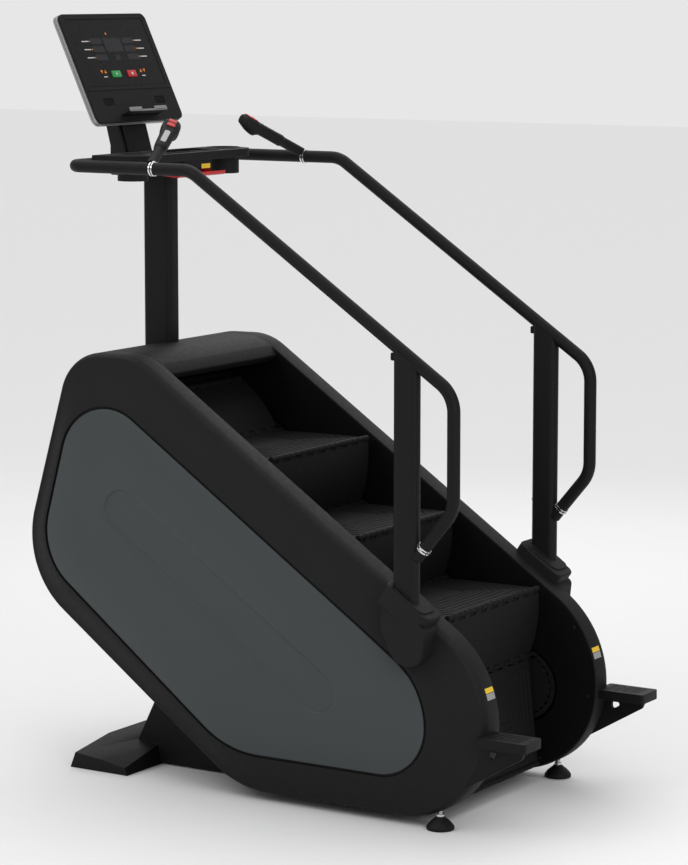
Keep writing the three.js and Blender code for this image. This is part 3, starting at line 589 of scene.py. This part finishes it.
# ---- casing ----
HEART = Vector((-640.0, 620.0))
POCKET = (Vector((-1057.6, 826.0)), Vector((-377.0, 362.0)))
POCKET_R = 62.0
PANEL_BACK_Y = 400.6
PANEL_CROWN_Y = 418.5
CROWN_RISE = 14.0
CROWN_WIDTH = 110.0
WALL_Y = (293.4, 297.4)
WALL_OPENING_R = 116.0


def reach_at(outline, heart, bearing):
    """How far an outline is from a point inside it, at a bearing."""
    d = Vector((math.cos(bearing), math.sin(bearing)))
    best = None
    for a, b in zip(outline, outline[1:] + outline[:1]):
        e = b - a
        cross = d.x * e.y - d.y * e.x
        if abs(cross) < 1e-9:
            continue
        to_a = a - heart
        along = (to_a.x * e.y - to_a.y * e.x) / cross
        edge = (to_a.x * d.y - to_a.y * d.x) / cross
        if along > 0 and -1e-4 <= edge <= 1 + 1e-4 and (best is None or along > best):
            best = along
    return best


def bearings_of(heart, *outlines, least=0.008):
    """Bearings that reach every bend of the outlines."""
    found = sorted(math.atan2(p.y - heart.y, p.x - heart.x) for outline in outlines for p in outline)
    kept = []
    for bearing in found:
        if not kept or bearing - kept[-1] > least:
            kept.append(bearing)
    return kept


def star(outline, heart, bearings):
    return [heart + reach_at(outline, heart, b) * Vector((math.cos(b), math.sin(b))) for b in bearings]


def side_shell(hand, side):
    bearings = bearings_of(HEART, rounded(CASING), rounded(PANEL))
    casing_at = {}

    def ring(t, y, inset, panel_inset=-9.0):
        for key, corners in (((0, inset), CASING), ((1, panel_inset), PANEL)):
            if key not in casing_at:
                casing_at[key] = star(rounded(corners, key[1]), HEART, bearings)
        outer, inner = casing_at[(0, inset)], casing_at[(1, panel_inset)]
        return [(*(a.lerp(b, t)).xy, side * y) for a, b in zip(outer, inner)]

    rings = [ring(0, SHELL_Y, 1.5), ring(0, SHELL_Y + 0.5, 0.4), ring(0, SHELL_Y + 1.6, 0)]
    rings += [ring(0, y, inset) for y, inset in RIM_ROLL]
    for t in (0.0, 0.02, 0.06, 0.12, 0.2, 0.3, 0.4, 0.5, 0.6, 0.7, 0.8, 0.9, 0.97, 1.0):
        rise = 0.55 * t + 1.35 * t * t - 0.9 * t ** 3
        rings.append(ring(t, RIDGE_Y + FACE_RISE * rise, 20))
    lip = RIDGE_Y + FACE_RISE
    rings += [ring(1, lip - 0.4, 20, -8.3), ring(1, lip - 1.6, 20, -7.8), ring(1, 397, 20, -7.6),
              ring(1, 397, 20, 24), ring(1, 392, 20, 24), ring(0.5, 380, 24), ring(0, 366, 25),
              ring(0, RIM_ROLL[0][0], SKIN), ring(0, SHELL_Y, SKIN)]
    verts, faces = skin(rings, tube=True)
    shape = [(x, y, z) for x, z, y in verts], faces
    piece(f"side_casing_{hand}", shape, SHELL, stands_for=(f"side_shell_{hand}",), sharp=40)


def side_panel(hand, side):
    middle = (POCKET[0] + POCKET[1]) / 2
    bearings = bearings_of(middle, rounded(PANEL), stadium(*POCKET, POCKET_R), least=0.006)

    def ring(outline, y):
        return [(p.x, side * y, p.y) for p in star(outline, middle, bearings)]

    profile = [(PANEL_BACK_Y, 0), (402.4, 0), (403.8, 0.5), (404.8, 1.5), (405.4, 3.2)]
    for inset in (6, 12, 20, 30, 42, 56, 72, 88, 104):
        profile.append((PANEL_CROWN_Y - CROWN_RISE * (1 - inset / CROWN_WIDTH) ** 2, inset))
    rings = [ring(rounded(PANEL, inset), y) for y, inset in profile]
    edge = star(rounded(PANEL, profile[-1][1]), middle, bearings)
    pocket = star(stadium(*POCKET, POCKET_R + 1.5), middle, bearings)
    for t, y in ((0.35, PANEL_CROWN_Y + 0.1), (0.7, PANEL_CROWN_Y + 0.3), (1.0, PANEL_CROWN_Y + 0.3)):
        rings.append([(a.lerp(b, t).x, side * y, a.lerp(b, t).y) for a, b in zip(edge, pocket)])
    for reach, drop in ((0.5, 0), (-0.3, 0.6), (-1.6, 2.6), (-2.7, 4.0), (-4.0, 4.6), (-14, 4.6)):
        rings.append(ring(stadium(*POCKET, POCKET_R + reach), PANEL_CROWN_Y - drop))
    rings.insert(0, ring(rounded(PANEL, 8), PANEL_BACK_Y))
    piece(f"cover_panel_{hand}", skin(rings), SLATE, stands_for=(f"side_panel_{hand}",),
          sharp=50)


def inner_wall(hand, side):
    middle = (LOWER_SHAFT + UPPER_SHAFT) / 2
    opening = stadium(UPPER_SHAFT, LOWER_SHAFT, WALL_OPENING_R)
    edge = rounded(CASING, SKIN + 0.4)
    bearings = bearings_of(middle, edge, opening)
    outer, inner = star(edge, middle, bearings), star(opening, middle, bearings)
    rings = []
    near, far = WALL_Y
    for outline, y in ((outer, near), (outer, far), (inner, far), (inner, near)):
        rings.append([(p.x, side * y, p.y) for p in outline])
    piece(f"wall_sheet_{hand}", skin(rings, tube=True), WALL,
          stands_for=(f"inner_wall_{hand}",), bevel=0.6, segments=2)
    heads = []
    for corner in (0.06, 0.18, 0.3, 0.42, 0.54, 0.66, 0.78, 0.9):
        spot = outer[int(corner * len(outer))]
        inward = (middle - spot).normalized() * 22
        heads.append(screw((spot.x + inward.x, side * near, spot.y + inward.y), (0, -side, 0), 4.5, 2.4))
    piece(f"wall_screws_{hand}", together(*heads), DARK_STEEL)


def cover(name, path, node_name, missing=(), ys=(-292.6, -200, -40, 40, 200, 292.6)):
    """A skin of one thickness over a path in XZ, between the side casings, with cells left open."""
    inner = ribbon(path, SKIN)[len(path):][::-1]
    layers = (path, inner)
    count = len(ys)
    verts = [(p.x, y, p.y) for layer in layers for p in layer for y in ys]

    def vertex(layer, i, j):
        return (layer * len(path) + i) * count + j

    cells = {(i, j) for i in range(len(path) - 1) for j in range(count - 1)} - set(missing)
    faces = []
    for i, j in cells:
        for layer in (0, 1):
            faces.append([vertex(layer, *c) for c in ((i, j), (i + 1, j), (i + 1, j + 1), (i, j + 1))])
        sides = (((i - 1, j), (i, j), (i, j + 1)), ((i + 1, j), (i + 1, j), (i + 1, j + 1)),
                 ((i, j - 1), (i, j), (i + 1, j)), ((i, j + 1), (i, j + 1), (i + 1, j + 1)))
        for neighbour, a, b in sides:
            if neighbour not in cells:
                faces.append([vertex(0, *a), vertex(0, *b), vertex(1, *b), vertex(1, *a)])
    return piece(name, (verts, faces), SHELL, stands_for=(node_name,), bevel=0.9, segments=2)


def open_inlet(path, high, low):
    """A front path with points added at the inlet's two levels, and the cells left open there."""
    points = []
    for a, b in zip(path, path[1:]):
        points.append(a)
        for level in (high, low):
            if (a.y - level) * (b.y - level) < 0:
                points.append(a.lerp(b, (a.y - level) / (a.y - b.y)))
    points = [*points, path[-1]][::-1]
    cells = {(i, 2) for i, (a, b) in enumerate(zip(points, points[1:])) if low < (a.y + b.y) / 2 < high}
    return points, cells


def casing():
    for hand, side in HANDS:
        side_shell(hand, side)
        side_panel(hand, side)
        inner_wall(hand, side)
    outline = rounded(CASING)
    hood_bend, top_bend, front_bend, belly_bend = (
        outline[i * (BEND_STEPS + 1):(i + 1) * (BEND_STEPS + 1)] for i in range(4))
    edge = Vector((-972, 1223))
    uphill = (hood_bend[0] - edge).normalized()
    inward = Vector((-uphill.y, uphill.x))
    lip = rounded([(*(edge + inward * 34), 0), (*edge, 5), (*hood_bend[0], 0)], steps=6, closed=False)
    seam = Vector((-1135, 1282.4))
    cover("hood_shell", [*lip, *hood_bend[1:], seam][::-1], "hood_cover")
    front, inlet = open_inlet([seam - Vector((0.5, 0)), *top_bend, *front_bend], 590.0, 530.0)
    cover("front_shell", front, "front_cover", inlet)
    belly = [front_bend[-1] + Vector((0.4, -0.3)), *belly_bend, Vector((-90, 24))]
    cover("belly_shell", belly[::-1], "belly_cover")


# ---- carried-over nodes ----
def finish_nodes():
    """Better materials for the CAD nodes that stay as they are."""
    finishes = {
        "step_chain_left": DARK_STEEL, "step_chain_right": DARK_STEEL, "lower_sprocket_shaft": DARK_STEEL,
        "upper_sprocket_shaft": DARK_STEEL, "drive_belt": RUBBER, "generator_housing": CAST,
        "generator_pulley": STEEL, "side_frame_left": POWDER, "side_frame_right": POWDER,
        "upper_cross_tube": POWDER, "lower_cross_tube": POWDER, "power_inlet": RUBBER,
    }
    for name, finish in finishes.items():
        obj = frame["nodes"][name]
        for slot in obj.material_slots:
            slot.material = finish


# ---- base ----
def base():
    softened("front_foot", POWDER, 4)
    for hand, side in HANDS:
        y = side * FOOT_Y
        dome = [(36, 0), (39.5, 1), (40, 3.5), (40, 8.5), (38.5, 11), (34, 17), (27, 24), (19, 30.5),
                (15, 33), (14, 36), (8, 36.5)]
        piece(f"foot_pad_{hand}", lathe(0, y, dome), RUBBER, BODY_OF[f"levelling_foot_{hand}"],
              (f"levelling_foot_{hand}",), sharp=45)
        thread = [(7.2, 36.6)]
        for turn in range(26):
            z = 44 + turn * 1.75
            thread += [(6.2, z), (7.4, z + 0.85)]
        piece(f"foot_stem_{hand}", lathe(0, y, thread, 24), CHROME,
              BODY_OF[f"levelling_foot_{hand}"], sharp=30)
        nut = [[(12 * math.cos(math.pi * k / 3), y + 12 * math.sin(math.pi * k / 3), z) for k in range(6)]
               for z in (37, 44)]
        piece(f"foot_nut_{hand}", skin(nut), CHROME, BODY_OF[f"levelling_foot_{hand}"],
              bevel=1.0)


# ---- rails, uprights, collars, pedals ----
def rail_path(side):
    y = side * RAIL_Y
    corners = [(x, y, z) for x, z in RAIL_CORNERS]
    return bent([(RAIL_FRONT_X, side * 0.3, RAIL_Z), (RAIL_FRONT_X, y, RAIL_Z), *corners], RAIL_BENDS)


def rail_height(x):
    """Height of the sloping rail's axis above a place along the machine."""
    (x0, z0), (x1, z1) = RAIL_CORNERS[:2]
    return z0 + (x - x0) * (z1 - z0) / (x1 - x0)


def rails():
    for hand, side in HANDS:
        y = side * RAIL_Y
        piece(f"rail_tube_{hand}", tube(rail_path(side), RAIL_R, 40, tip=1.2), POWDER,
              stands_for=(f"handrail_{hand}",), sharp=40)
        oval = box_outline(UPRIGHT_X, y, 80, 40, 19.6, 10)
        column = skin([[(p.x, p.y, 585) for p in oval], [(p.x, p.y, rail_height(p.x)) for p in oval]])
        piece(f"upright_tube_{hand}", column, POWDER, stands_for=(f"upright_{hand}",))
        high, low = (Vector((x, y, z)) for x, z in RAIL_CORNERS[2:])
        slant = (high - low).normalized()
        clamp = together(collar_ring(low + slant * 34, slant, 17.6, 21.5, 5),
                         collar_ring(low + slant * 42, slant, 17.6, 21.0, 4),
                         screw(low + slant * 38 + Vector((0, side * 19, 0)), (0, side, 0), 5, 5))
        piece(f"lower_clamp_{hand}", clamp, CHROME, bevel=0.7)
        stop = along_y(box_outline(-124, rail_height(-124) - 33, 16, 22, 4), y - 9, y + 9)
        piece(f"rail_bracket_{hand}", stop, POWDER, bevel=2)
        heads = [screw((-121, y, z), (-1, 0, 0), 5, 4) for z in (1338, 830)]
        piece(f"upright_screws_{hand}", together(*heads), DARK_STEEL)
        piece(f"grip_clamp_{hand}", together(collar_ring((-944, y, RAIL_Z), (1, 0, 0), 18, 21.5, 5),
              collar_ring((-936, y, RAIL_Z), (1, 0, 0), 18, 21, 4),
              screw((-940, y, RAIL_Z + 19), (0, 0, 1), 4.5, 4)), CHROME, bevel=0.7)
        collar(hand, side)
        pedal(hand, side)
    piece("rail_sleeve", tube([Vector((RAIL_FRONT_X, y, RAIL_Z)) for y in (-26, 26)], 19.6, 40, 0.8),
          POWDER)


def slope_point(s, n):
    """A point beside the upright's foot: s down the slope and n out of it."""
    return Vector((UPRIGHT_X, 634.0)) + s * DOWNHILL + n * OUTWARD


def collar(hand, side):
    def cap(low, high, half, y0, y1, radius):
        plan = box_outline(0, (y0 + y1) / 2, 2 * half, y1 - y0, radius, 10)
        rings = []
        for n in (low, high):
            rings.append([(slope_point(p.x, n).x, side * p.y, slope_point(p.x, n).y) for p in plan])
        return skin(rings)

    piece(f"collar_cap_{hand}", cap(-30, 32, 84, 338, 436, 26), SHELL,
          stands_for=(f"upright_collar_{hand}",), bevel=5, segments=4)
    skirt = rounded([(*slope_point(-92, 4), 14), (-154, 575, 60), (-100, 478, 70), (-16, 470, 46),
                     (*slope_point(92, 4), 18)], steps=10)
    outer = []
    for p in skirt:
        downhill = min(max((p - slope_point(-92, 0)).dot(DOWNHILL) / 184, 0), 1)
        outer.append((p.x, side * (421 + 20.5 * math.sin(downhill * math.pi / 2)), p.y))
    flared = skin([[(p.x, side * 350, p.y) for p in skirt], outer])
    piece(f"collar_skirt_{hand}", flared, SHELL, bevel=9, segments=4)
    piece(f"collar_plate_{hand}", cap(30, 36, 60, 352, 434, 24), SHELL, bevel=2.5)
    dowel = slope_point(-30, 32)
    piece(f"collar_screw_{hand}", screw((dowel.x, side * 350, dowel.y), (OUTWARD.x, 0, OUTWARD.y), 5, 3),
          DARK_STEEL)


def pedal(hand, side):
    y0, y1 = 310, 408
    plan = box_outline(223, side * (y0 + y1) / 2, 158, y1 - y0, 9)
    rest = piece(f"pedal_plate_{hand}", along_z(plan, 266, 294), POWDER,
                 stands_for=(f"rear_pedal_{hand}",), bevel=4)
    grooves = []
    for number in range(5):
        y = side * (y0 + 19 + number * 15)
        grooves.append(along_z(box_outline(218, y, 116, 5, 2.4, 4), 291, 300))
    carved(rest, grooves)
    corner_x, corner_z, bend = CASING[4]
    reach = bend + 1.5

    def on_shell(z):
        rise = z - corner_z - bend
        return Vector((corner_x - bend + math.sqrt(reach * reach - rise ** 2), z))

    root = [Vector((p.x - 14, p.y)) for p in (on_shell(268), on_shell(238), on_shell(205), on_shell(170))]
    gusset = [on_shell(138) - Vector((14, 4)), Vector((272, 240)), Vector((284, 268)), *root]
    web = piece(f"pedal_gusset_{hand}", along_y(gusset, side * 362, side * 374), POWDER,
                bevel=1.5)
    carved(web, [along_y(rounded([(172, 226, 6), (172, 250, 6), (214, 250, 6)], steps=6),
                         side * 350, side * 390)])


# ---- grips ----
GRIP_FACE = (0.48, 0.28, 0.83)


def grip(hand, side):
    start = Vector((-957, side * 379, 1859))
    end = Vector((-1025, side * 184, 1957))
    axis = (end - start).normalized()
    length = (end - start).length
    facing = Vector((GRIP_FACE[0], side * GRIP_FACE[1], GRIP_FACE[2]))
    flat = (facing - axis * axis.dot(facing)).normalized()
    across = flat.cross(axis)

    def at(x, y, z):
        return start + across * x + flat * y + axis * z

    def ring(z, width, depth, radius, low=0.0):
        return [at(p.x, p.y - low, z) for p in box_outline(0, 0, width, depth, radius, 6)]

    sections = [(-26, 31, 31, 15), (8, 31, 31, 15), (52, 31, 31, 15), (66, 32, 32, 15), (69, 36, 36, 15),
                (74, 38, 36, 14), (90, 40, 35, 13), (length - 74, 43, 35, 13), (length - 62, 47, 38, 14, 1.5),
                (length - 52, 52, 45, 15, 5), (length - 44, 55, 46, 15, 5.5), (length - 30, 56, 42, 14, 4),
                (length - 12, 54, 35, 14, 0.8), (length - 3, 49, 30, 13), (length, 40, 23, 11)]
    piece(f"grip_body_{hand}", skin([ring(*s) for s in sections]), RUBBER,
          stands_for=(f"rail_grip_{hand}",), sharp=42)
    outline = box_outline(0, 122, 17, 66, 6)
    plate = skin([[at(p.x, y, p.y) for p in outline] for y in (15, 18.8)])
    piece(f"pulse_plate_{hand}", plate, SILVER, bevel=0.8)
    body = BODY_OF[f"rocker_key_{hand}"]
    pads = []
    middle = length - 28
    for shift in (-10.5, 10.5):
        rings = []
        for y, shrink in ((14, 0), (19.4, 0), (20.6, 0.8), (21.2, 2.6)):
            outline = box_outline(0, middle + shift, 25 - 2 * shrink, 17 - 2 * shrink, 4.5 - shrink, 6)
            rings.append([at(p.x, y, p.y) for p in outline])
        pads.append(skin(rings))
    piece(f"rocker_pads_{hand}", together(*pads), RED, body, (f"rocker_key_{hand}",), bevel=0.5)
    surround = []
    for y in (13, 18.9):
        surround.append([at(p.x, y, p.y) for p in box_outline(0, middle, 32, 46, 6)])
    piece(f"rocker_seat_{hand}", skin(surround), RUBBER, bevel=1.2)


# ---- mast, tray, lever ----
TRAY_BEND = 78.0
CUP_OUTER_R = 46.0
CUP_WELL_R = 41.0


def tray():
    back = RAIL_FRONT_X + RAIL_R + 0.6
    outline = [*arc(TRAY_X, CUP_Y, TRAY_BEND, 0, math.pi / 2, 24), Vector((back, CUP_Y + TRAY_BEND)),
               Vector((back, -CUP_Y - TRAY_BEND)),
               *arc(TRAY_X, -CUP_Y, TRAY_BEND, 1.5 * math.pi, 2 * math.pi, 24)]
    top = piece("tray_top", along_z(outline, 1840, 1865), SHELL,
                stands_for=("console_tray",), bevel=8, segments=5)
    joined = [along_z(circle(TRAY_X, s * CUP_Y, CUP_OUTER_R, 64), 1788, 1850) for s in (-1, 1)]
    joined.append(along_z(box_outline(TRAY_X, 0, 144, 150, 10), 1812.6, 1850))
    joined.append(along_z(box_outline(TRAY_X - 4, 0, 116, 300, 24), 1850, 1868))
    carved(top, joined, "UNION")
    wells = [along_z(circle(TRAY_X, s * CUP_Y, CUP_WELL_R, 64), 1793, 1900) for s in (-1, 1)]
    wells.append(along_z(box_outline(TRAY_X, 0, 92, 262, 16), 1857, 1900))
    carved(top, wells)
    lip = ((41.2, 1860), (41.2, 1866), (43, 1868.4), (48, 1868.8), (53, 1867), (56, 1862.6), (41.2, 1859))
    for hand, side in HANDS:
        rim = [[(TRAY_X + r * math.cos(2 * math.pi * k / 64),
                 side * CUP_Y + r * math.sin(2 * math.pi * k / 64), z) for k in range(64)] for r, z in lip]
        piece(f"cup_rim_{hand}", skin(rim, tube=True), SHELL, sharp=50)
    corners = ((12, 1814.5), (58, 1814.5), (58, 1828.5), (12, 1828.5))
    label = [[(x, y, z) for y, z in corners] for x in (-1059.4, -1058.6)]
    piece("tray_label", skin(label), YELLOW)
    softened("emergency_lever", RED, 1.4, name="stop_bar_moulded")


def mast():
    piece("mast_tube", along_z(box_outline(MAST_X, 0, 100, 60, 17, 10), 1172, 1789.6), POWDER,
          stands_for=("mast",), bevel=1.2)
    softened("console_neck", SHELL, 5)
    rib_shape = [[(x, y, z) for x, z in ((-1262, 1814), (-1268, 1814), (-1306, 1945), (-1300, 1945))]
                 for y in (-60, 60)]
    piece("neck_inlay", skin(rib_shape), POWDER, bevel=2)


# ---- console ----
CONSOLE_UP = Vector((-0.4272, 0, 0.9042))
CONSOLE_OUT = Vector((0.9042, 0, 0.4272))
CONSOLE_CENTRE = Vector((-1345, 0, 2116))
CONSOLE_W = 444.0
CONSOLE_H = 361.0
CONSOLE_R = 24
WINDOW_Y = 50.0
WINDOW_W = 392.0
WINDOW_H = 220.0
KEY_X = 40.0
KEY_Y = -22.0
KEY_W = 44.0
KEY_H = 22.0
LEDGE_Y = -158.0
LEDGE_DEPTH = 38.0
SPEAKER_X = 132.0
SPEAKER_Y = -112.0
CLEAR = 20.0


def on_console(x, y, z):
    return CONSOLE_CENTRE + Vector((0, x, 0)) + CONSOLE_UP * y + CONSOLE_OUT * z


def console_ring(width, height, radius, z, cy=0.0, cx=0.0):
    return [on_console(p.x, p.y, z) for p in box_outline(cx, cy, width, height, radius, 10)]


def console_slab(width, height, radius, z0, z1, cy=0.0, cx=0.0):
    return skin([console_ring(width, height, radius, z, cy, cx) for z in (z0, z1)])


def console():
    edge = ((12, -26), (3, -26), (0, -24), (0, -19), (4, -18), (4, -16), (0, -15), (0, -11), (3, -9),
            (12, -9))
    trim = [console_ring(CONSOLE_W - shrink, CONSOLE_H - shrink, CONSOLE_R - shrink // 2, z)
            for shrink, z in edge]
    piece("console_edge", skin(trim, tube=True), SILVER, stands_for=("console_trim",))
    back = [(CONSOLE_W - 15, CONSOLE_H - 15, 17, -9.4), (CONSOLE_W - 15, CONSOLE_H - 15, 17, -26),
            (CONSOLE_W - 19, CONSOLE_H - 19, 18, -30), (CONSOLE_W - 60, CONSOLE_H - 56, 24, -38),
            (CONSOLE_W - 104, CONSOLE_H - 96, 30, -43), (CONSOLE_W - 116, CONSOLE_H - 108, 30, -44)]
    piece("console_rear", skin([console_ring(*b) for b in back]), SHELL,
          stands_for=("console_back",), sharp=40)
    face = piece("console_face", console_slab(CONSOLE_W - 4, CONSOLE_H - 4, 22, -8.6, 0), SHELL,
                 stands_for=("console_bezel",), bevel=2.2, segments=4)
    wells = [console_slab(WINDOW_W + 2, WINDOW_H + 2, 8, -3.6, CLEAR, WINDOW_Y)]
    key_wells = [console_slab(KEY_W + 2, KEY_H + 2, 3, -6.5, CLEAR, KEY_Y, s * KEY_X) for s in (-1, 1)]
    speaker_wells = [console_slab(50, 24, 6, -2.6, CLEAR, SPEAKER_Y, s * SPEAKER_X) for s in (-1, 1)]
    carved(face, wells + key_wells + speaker_wells)
    glass = piece("display_glass", console_slab(WINDOW_W, WINDOW_H, 7, -3.2, -1, WINDOW_Y), GLASS,
                  stands_for=("console_overlay",), bevel=0.5)
    carved(glass, key_wells)
    fold = [console_ring(CONSOLE_W - 22, 5, 2, z, -72) for z in (-1, 1.4)]
    piece("console_fold", skin(fold), SHELL, bevel=1.1)
    for name, x, finish in (("start_key", -KEY_X, GREEN), ("stop_key", KEY_X, RED)):
        rings = [console_ring(KEY_W, KEY_H, 3, z, KEY_Y, x) for z in (-3.5, 0.6)]
        rings.append(console_ring(KEY_W - 1, KEY_H - 1, 2.6, 1.3, KEY_Y, x))
        rings.append(console_ring(KEY_W - 3.5, KEY_H - 3.5, 2, 1.6, KEY_Y, x))
        piece(f"{name}_cap", skin(rings), finish, BODY_OF[name], (name,), sharp=40)
    corners = ((-KEY_X - 4, KEY_Y - 5), (-KEY_X - 4, KEY_Y + 5), (-KEY_X + 4.5, KEY_Y))
    play = [[on_console(x, y, z) for x, y in corners] for z in (1.5, 1.9)]
    piece("start_mark", skin(play), PALE, BODY_OF["start_key"])
    piece("stop_mark", console_slab(8, 8, 1, 1.5, 1.9, KEY_Y, KEY_X), PALE, BODY_OF["stop_key"])
    display_print()
    speakers()
    ledge()


def display_print():
    """Plain windows, dots, dashes and arrows on the display, with nothing written on it."""
    top = -0.95
    windows = [console_slab(88, 46, 3, top, top + 0.35, 75), console_slab(24, 17, 3, top, top + 0.35, 32)]
    dots, marks = [], []
    for y in (88, 61, 34):
        for side in (-1, 1):
            windows.append(console_slab(56, 19, 2.5, top, top + 0.35, y, side * 81))
            dots.append(console_slab(5, 5, 2.4, top, top + 0.4, y, side * 113))
            marks.append(console_slab(34, 3.2, 1.2, top, top + 0.4, y, side * 136))
    dots.append(console_slab(6, 8, 2.9, top, top + 0.4, 112, -17))
    for side in (-1, 1):
        for number, turn in enumerate((1, -1)):
            x = side * (91 + 18 * number)
            tip = [(x - 6, KEY_Y + 9 - 5 * turn), (x + 6, KEY_Y + 9 - 5 * turn), (x, KEY_Y + 9 + 6 * turn)]
            dots.append(skin([[on_console(a, b, z) for a, b in tip] for z in (top, top + 0.4)]))
        marks.append(console_slab(18, 3, 1.2, top, top + 0.4, KEY_Y - 8, side * 98))
    piece("display_windows", together(*windows), WINDOW)
    piece("display_orange_marks", together(*dots), ORANGE)
    piece("display_pale_marks", together(*marks), PALE)


def speakers():
    bars = []
    for side in (-1, 1):
        for number in range(7):
            x = side * SPEAKER_X + (number - 3) * 20 / 3
            bars.append(console_slab(3.4, 20, 1.5, -2.6, -0.5, SPEAKER_Y, x))
    piece("speaker_grilles", together(*bars), RUBBER, bevel=0.4)


def ledge():
    shelf = [console_slab(190, 5, 2, 0.4, LEDGE_DEPTH - 2, LEDGE_Y)]
    shelf += [console_slab(186, 1.2, 0.5, 4 + 7 * number, 7 + 7 * number, LEDGE_Y + 2.8)
              for number in range(4)]
    piece("device_shelf", together(*shelf), SHELL, stands_for=("device_ledge",), bevel=0.5)
    lips = [console_slab(190, 5, 1.5, LEDGE_DEPTH - 4, LEDGE_DEPTH, LEDGE_Y)]
    lips += [console_slab(62, 13, 2.5, LEDGE_DEPTH - 4, LEDGE_DEPTH, LEDGE_Y + 4.5, side * 64)
             for side in (-1, 1)]
    piece("device_lip", together(*lips), SILVER, bevel=0.7)


# ---- stickers ----
def rim_label(hand, side):
    """A plain two-colour sticker on the rim near the user's end, with nothing written on it."""
    centre, radius = Vector((-161, 304)), 318.0
    for name, start, end, finish in (("top", 18.6, 21.2, YELLOW), ("low", 15.0, 18.3, GREY_STICKER)):
        rings = []
        for lift in (-0.2, 0.6):
            ring = []
            turns = [start + (end - start) * k / 6 for k in range(7)]
            for y, order in ((299, turns), (342, turns[::-1])):
                for turn in order:
                    a = math.radians(turn)
                    p = centre + (radius + lift) * Vector((math.cos(a), math.sin(a)))
                    ring.append((p.x, side * y, p.y))
            rings.append(ring)
        piece(f"rim_sticker_{name}_{hand}", skin(rings), finish)


# ---- scene ----
def area_light(name, location, target, size, power, colour=(1, 1, 1)):
    light = bpy.data.lights.new(name, "AREA")
    light.shape = "RECTANGLE"
    light.size, light.size_y = size
    light.energy = power
    light.color = colour
    obj = bpy.data.objects.new(name, light)
    obj.location = location
    obj.rotation_euler = (Vector(target) - Vector(location)).to_track_quat("-Z", "Y").to_euler()
    bpy.context.scene.collection.objects.link(obj)


def studio():
    mesh = bpy.data.meshes.new("studio_floor")
    half = 40.0
    mesh.from_pydata([(-half, -half, 0), (half, -half, 0), (half, half, 0), (-half, half, 0)], [],
                     [(0, 1, 2, 3)])
    floor = bpy.data.objects.new("studio_floor", mesh)
    mesh.materials.append(material("pale_floor", (0.8, 0.8, 0.8), 0.8, bump=0.0, mottle=0.01, specular=0.1))
    bpy.context.scene.collection.objects.link(floor)
    bpy.context.scene.view_settings.view_transform = "Standard"
    world = bpy.data.worlds.new("studio")
    bpy.context.scene.world = world
    world.use_nodes = True
    tree = world.node_tree
    sky = tree.nodes["Background"]
    sky.inputs["Color"].default_value = (1, 1, 1, 1)
    rays = tree.nodes.new("ShaderNodeLightPath")
    strength = node(tree, "ShaderNodeMapRange", To_Min=0.42, To_Max=0.8)
    tree.links.new(rays.outputs["Is Camera Ray"], strength.inputs["Value"])
    tree.links.new(strength.outputs["Result"], sky.inputs["Strength"])
    sun = bpy.data.lights.new("overhead_light", "SUN")
    sun.energy = 1.7
    sun.angle = math.radians(80)
    overhead = bpy.data.objects.new("overhead_light", sun)
    overhead.rotation_euler = (math.radians(-14), math.radians(-12), 0)
    bpy.context.scene.collection.objects.link(overhead)
    middle = (0, 0, 1.0)
    area_light("key_light", (-2.2, -4.2, 4.6), middle, (3.0, 3.0), 78)
    area_light("fill_light", (4.5, -2.5, 3.0), middle, (2.6, 3.4), 75)
    area_light("back_light", (-1.5, 4.2, 3.4), middle, (3.0, 2.4), 30)


CAMERA_AZIMUTH = 32.331
CAMERA_ELEVATION = 7.7765
CAMERA_SPOT = (4323.6, -7750.6, 2362.1)
CAMERA_LENS = 129.63
CAMERA_SHIFT = (0.01312, -0.02467)


def camera():
    data = bpy.data.cameras.new("camera")
    obj = bpy.data.objects.new("camera", data)
    bpy.context.scene.collection.objects.link(obj)
    data.lens = CAMERA_LENS
    data.sensor_width = 36
    data.shift_x, data.shift_y = CAMERA_SHIFT
    data.clip_end = 100
    a, e = math.radians(CAMERA_AZIMUTH), math.radians(CAMERA_ELEVATION)
    back = Vector((math.sin(a) * math.cos(e), -math.cos(a) * math.cos(e), math.sin(e)))
    right = Vector((math.cos(a), math.sin(a), 0))
    turn = Matrix((right, back.cross(right), back)).transposed()
    obj.matrix_world = Matrix.Translation(row(CAMERA_SPOT)) @ turn.to_4x4()
    bpy.context.scene.camera = obj


staircase()
casing()
finish_nodes()
base()
rails()
for hand, side in HANDS:
    grip(hand, side)
    rim_label(hand, side)
tray()
mast()
console()
studio()
camera()
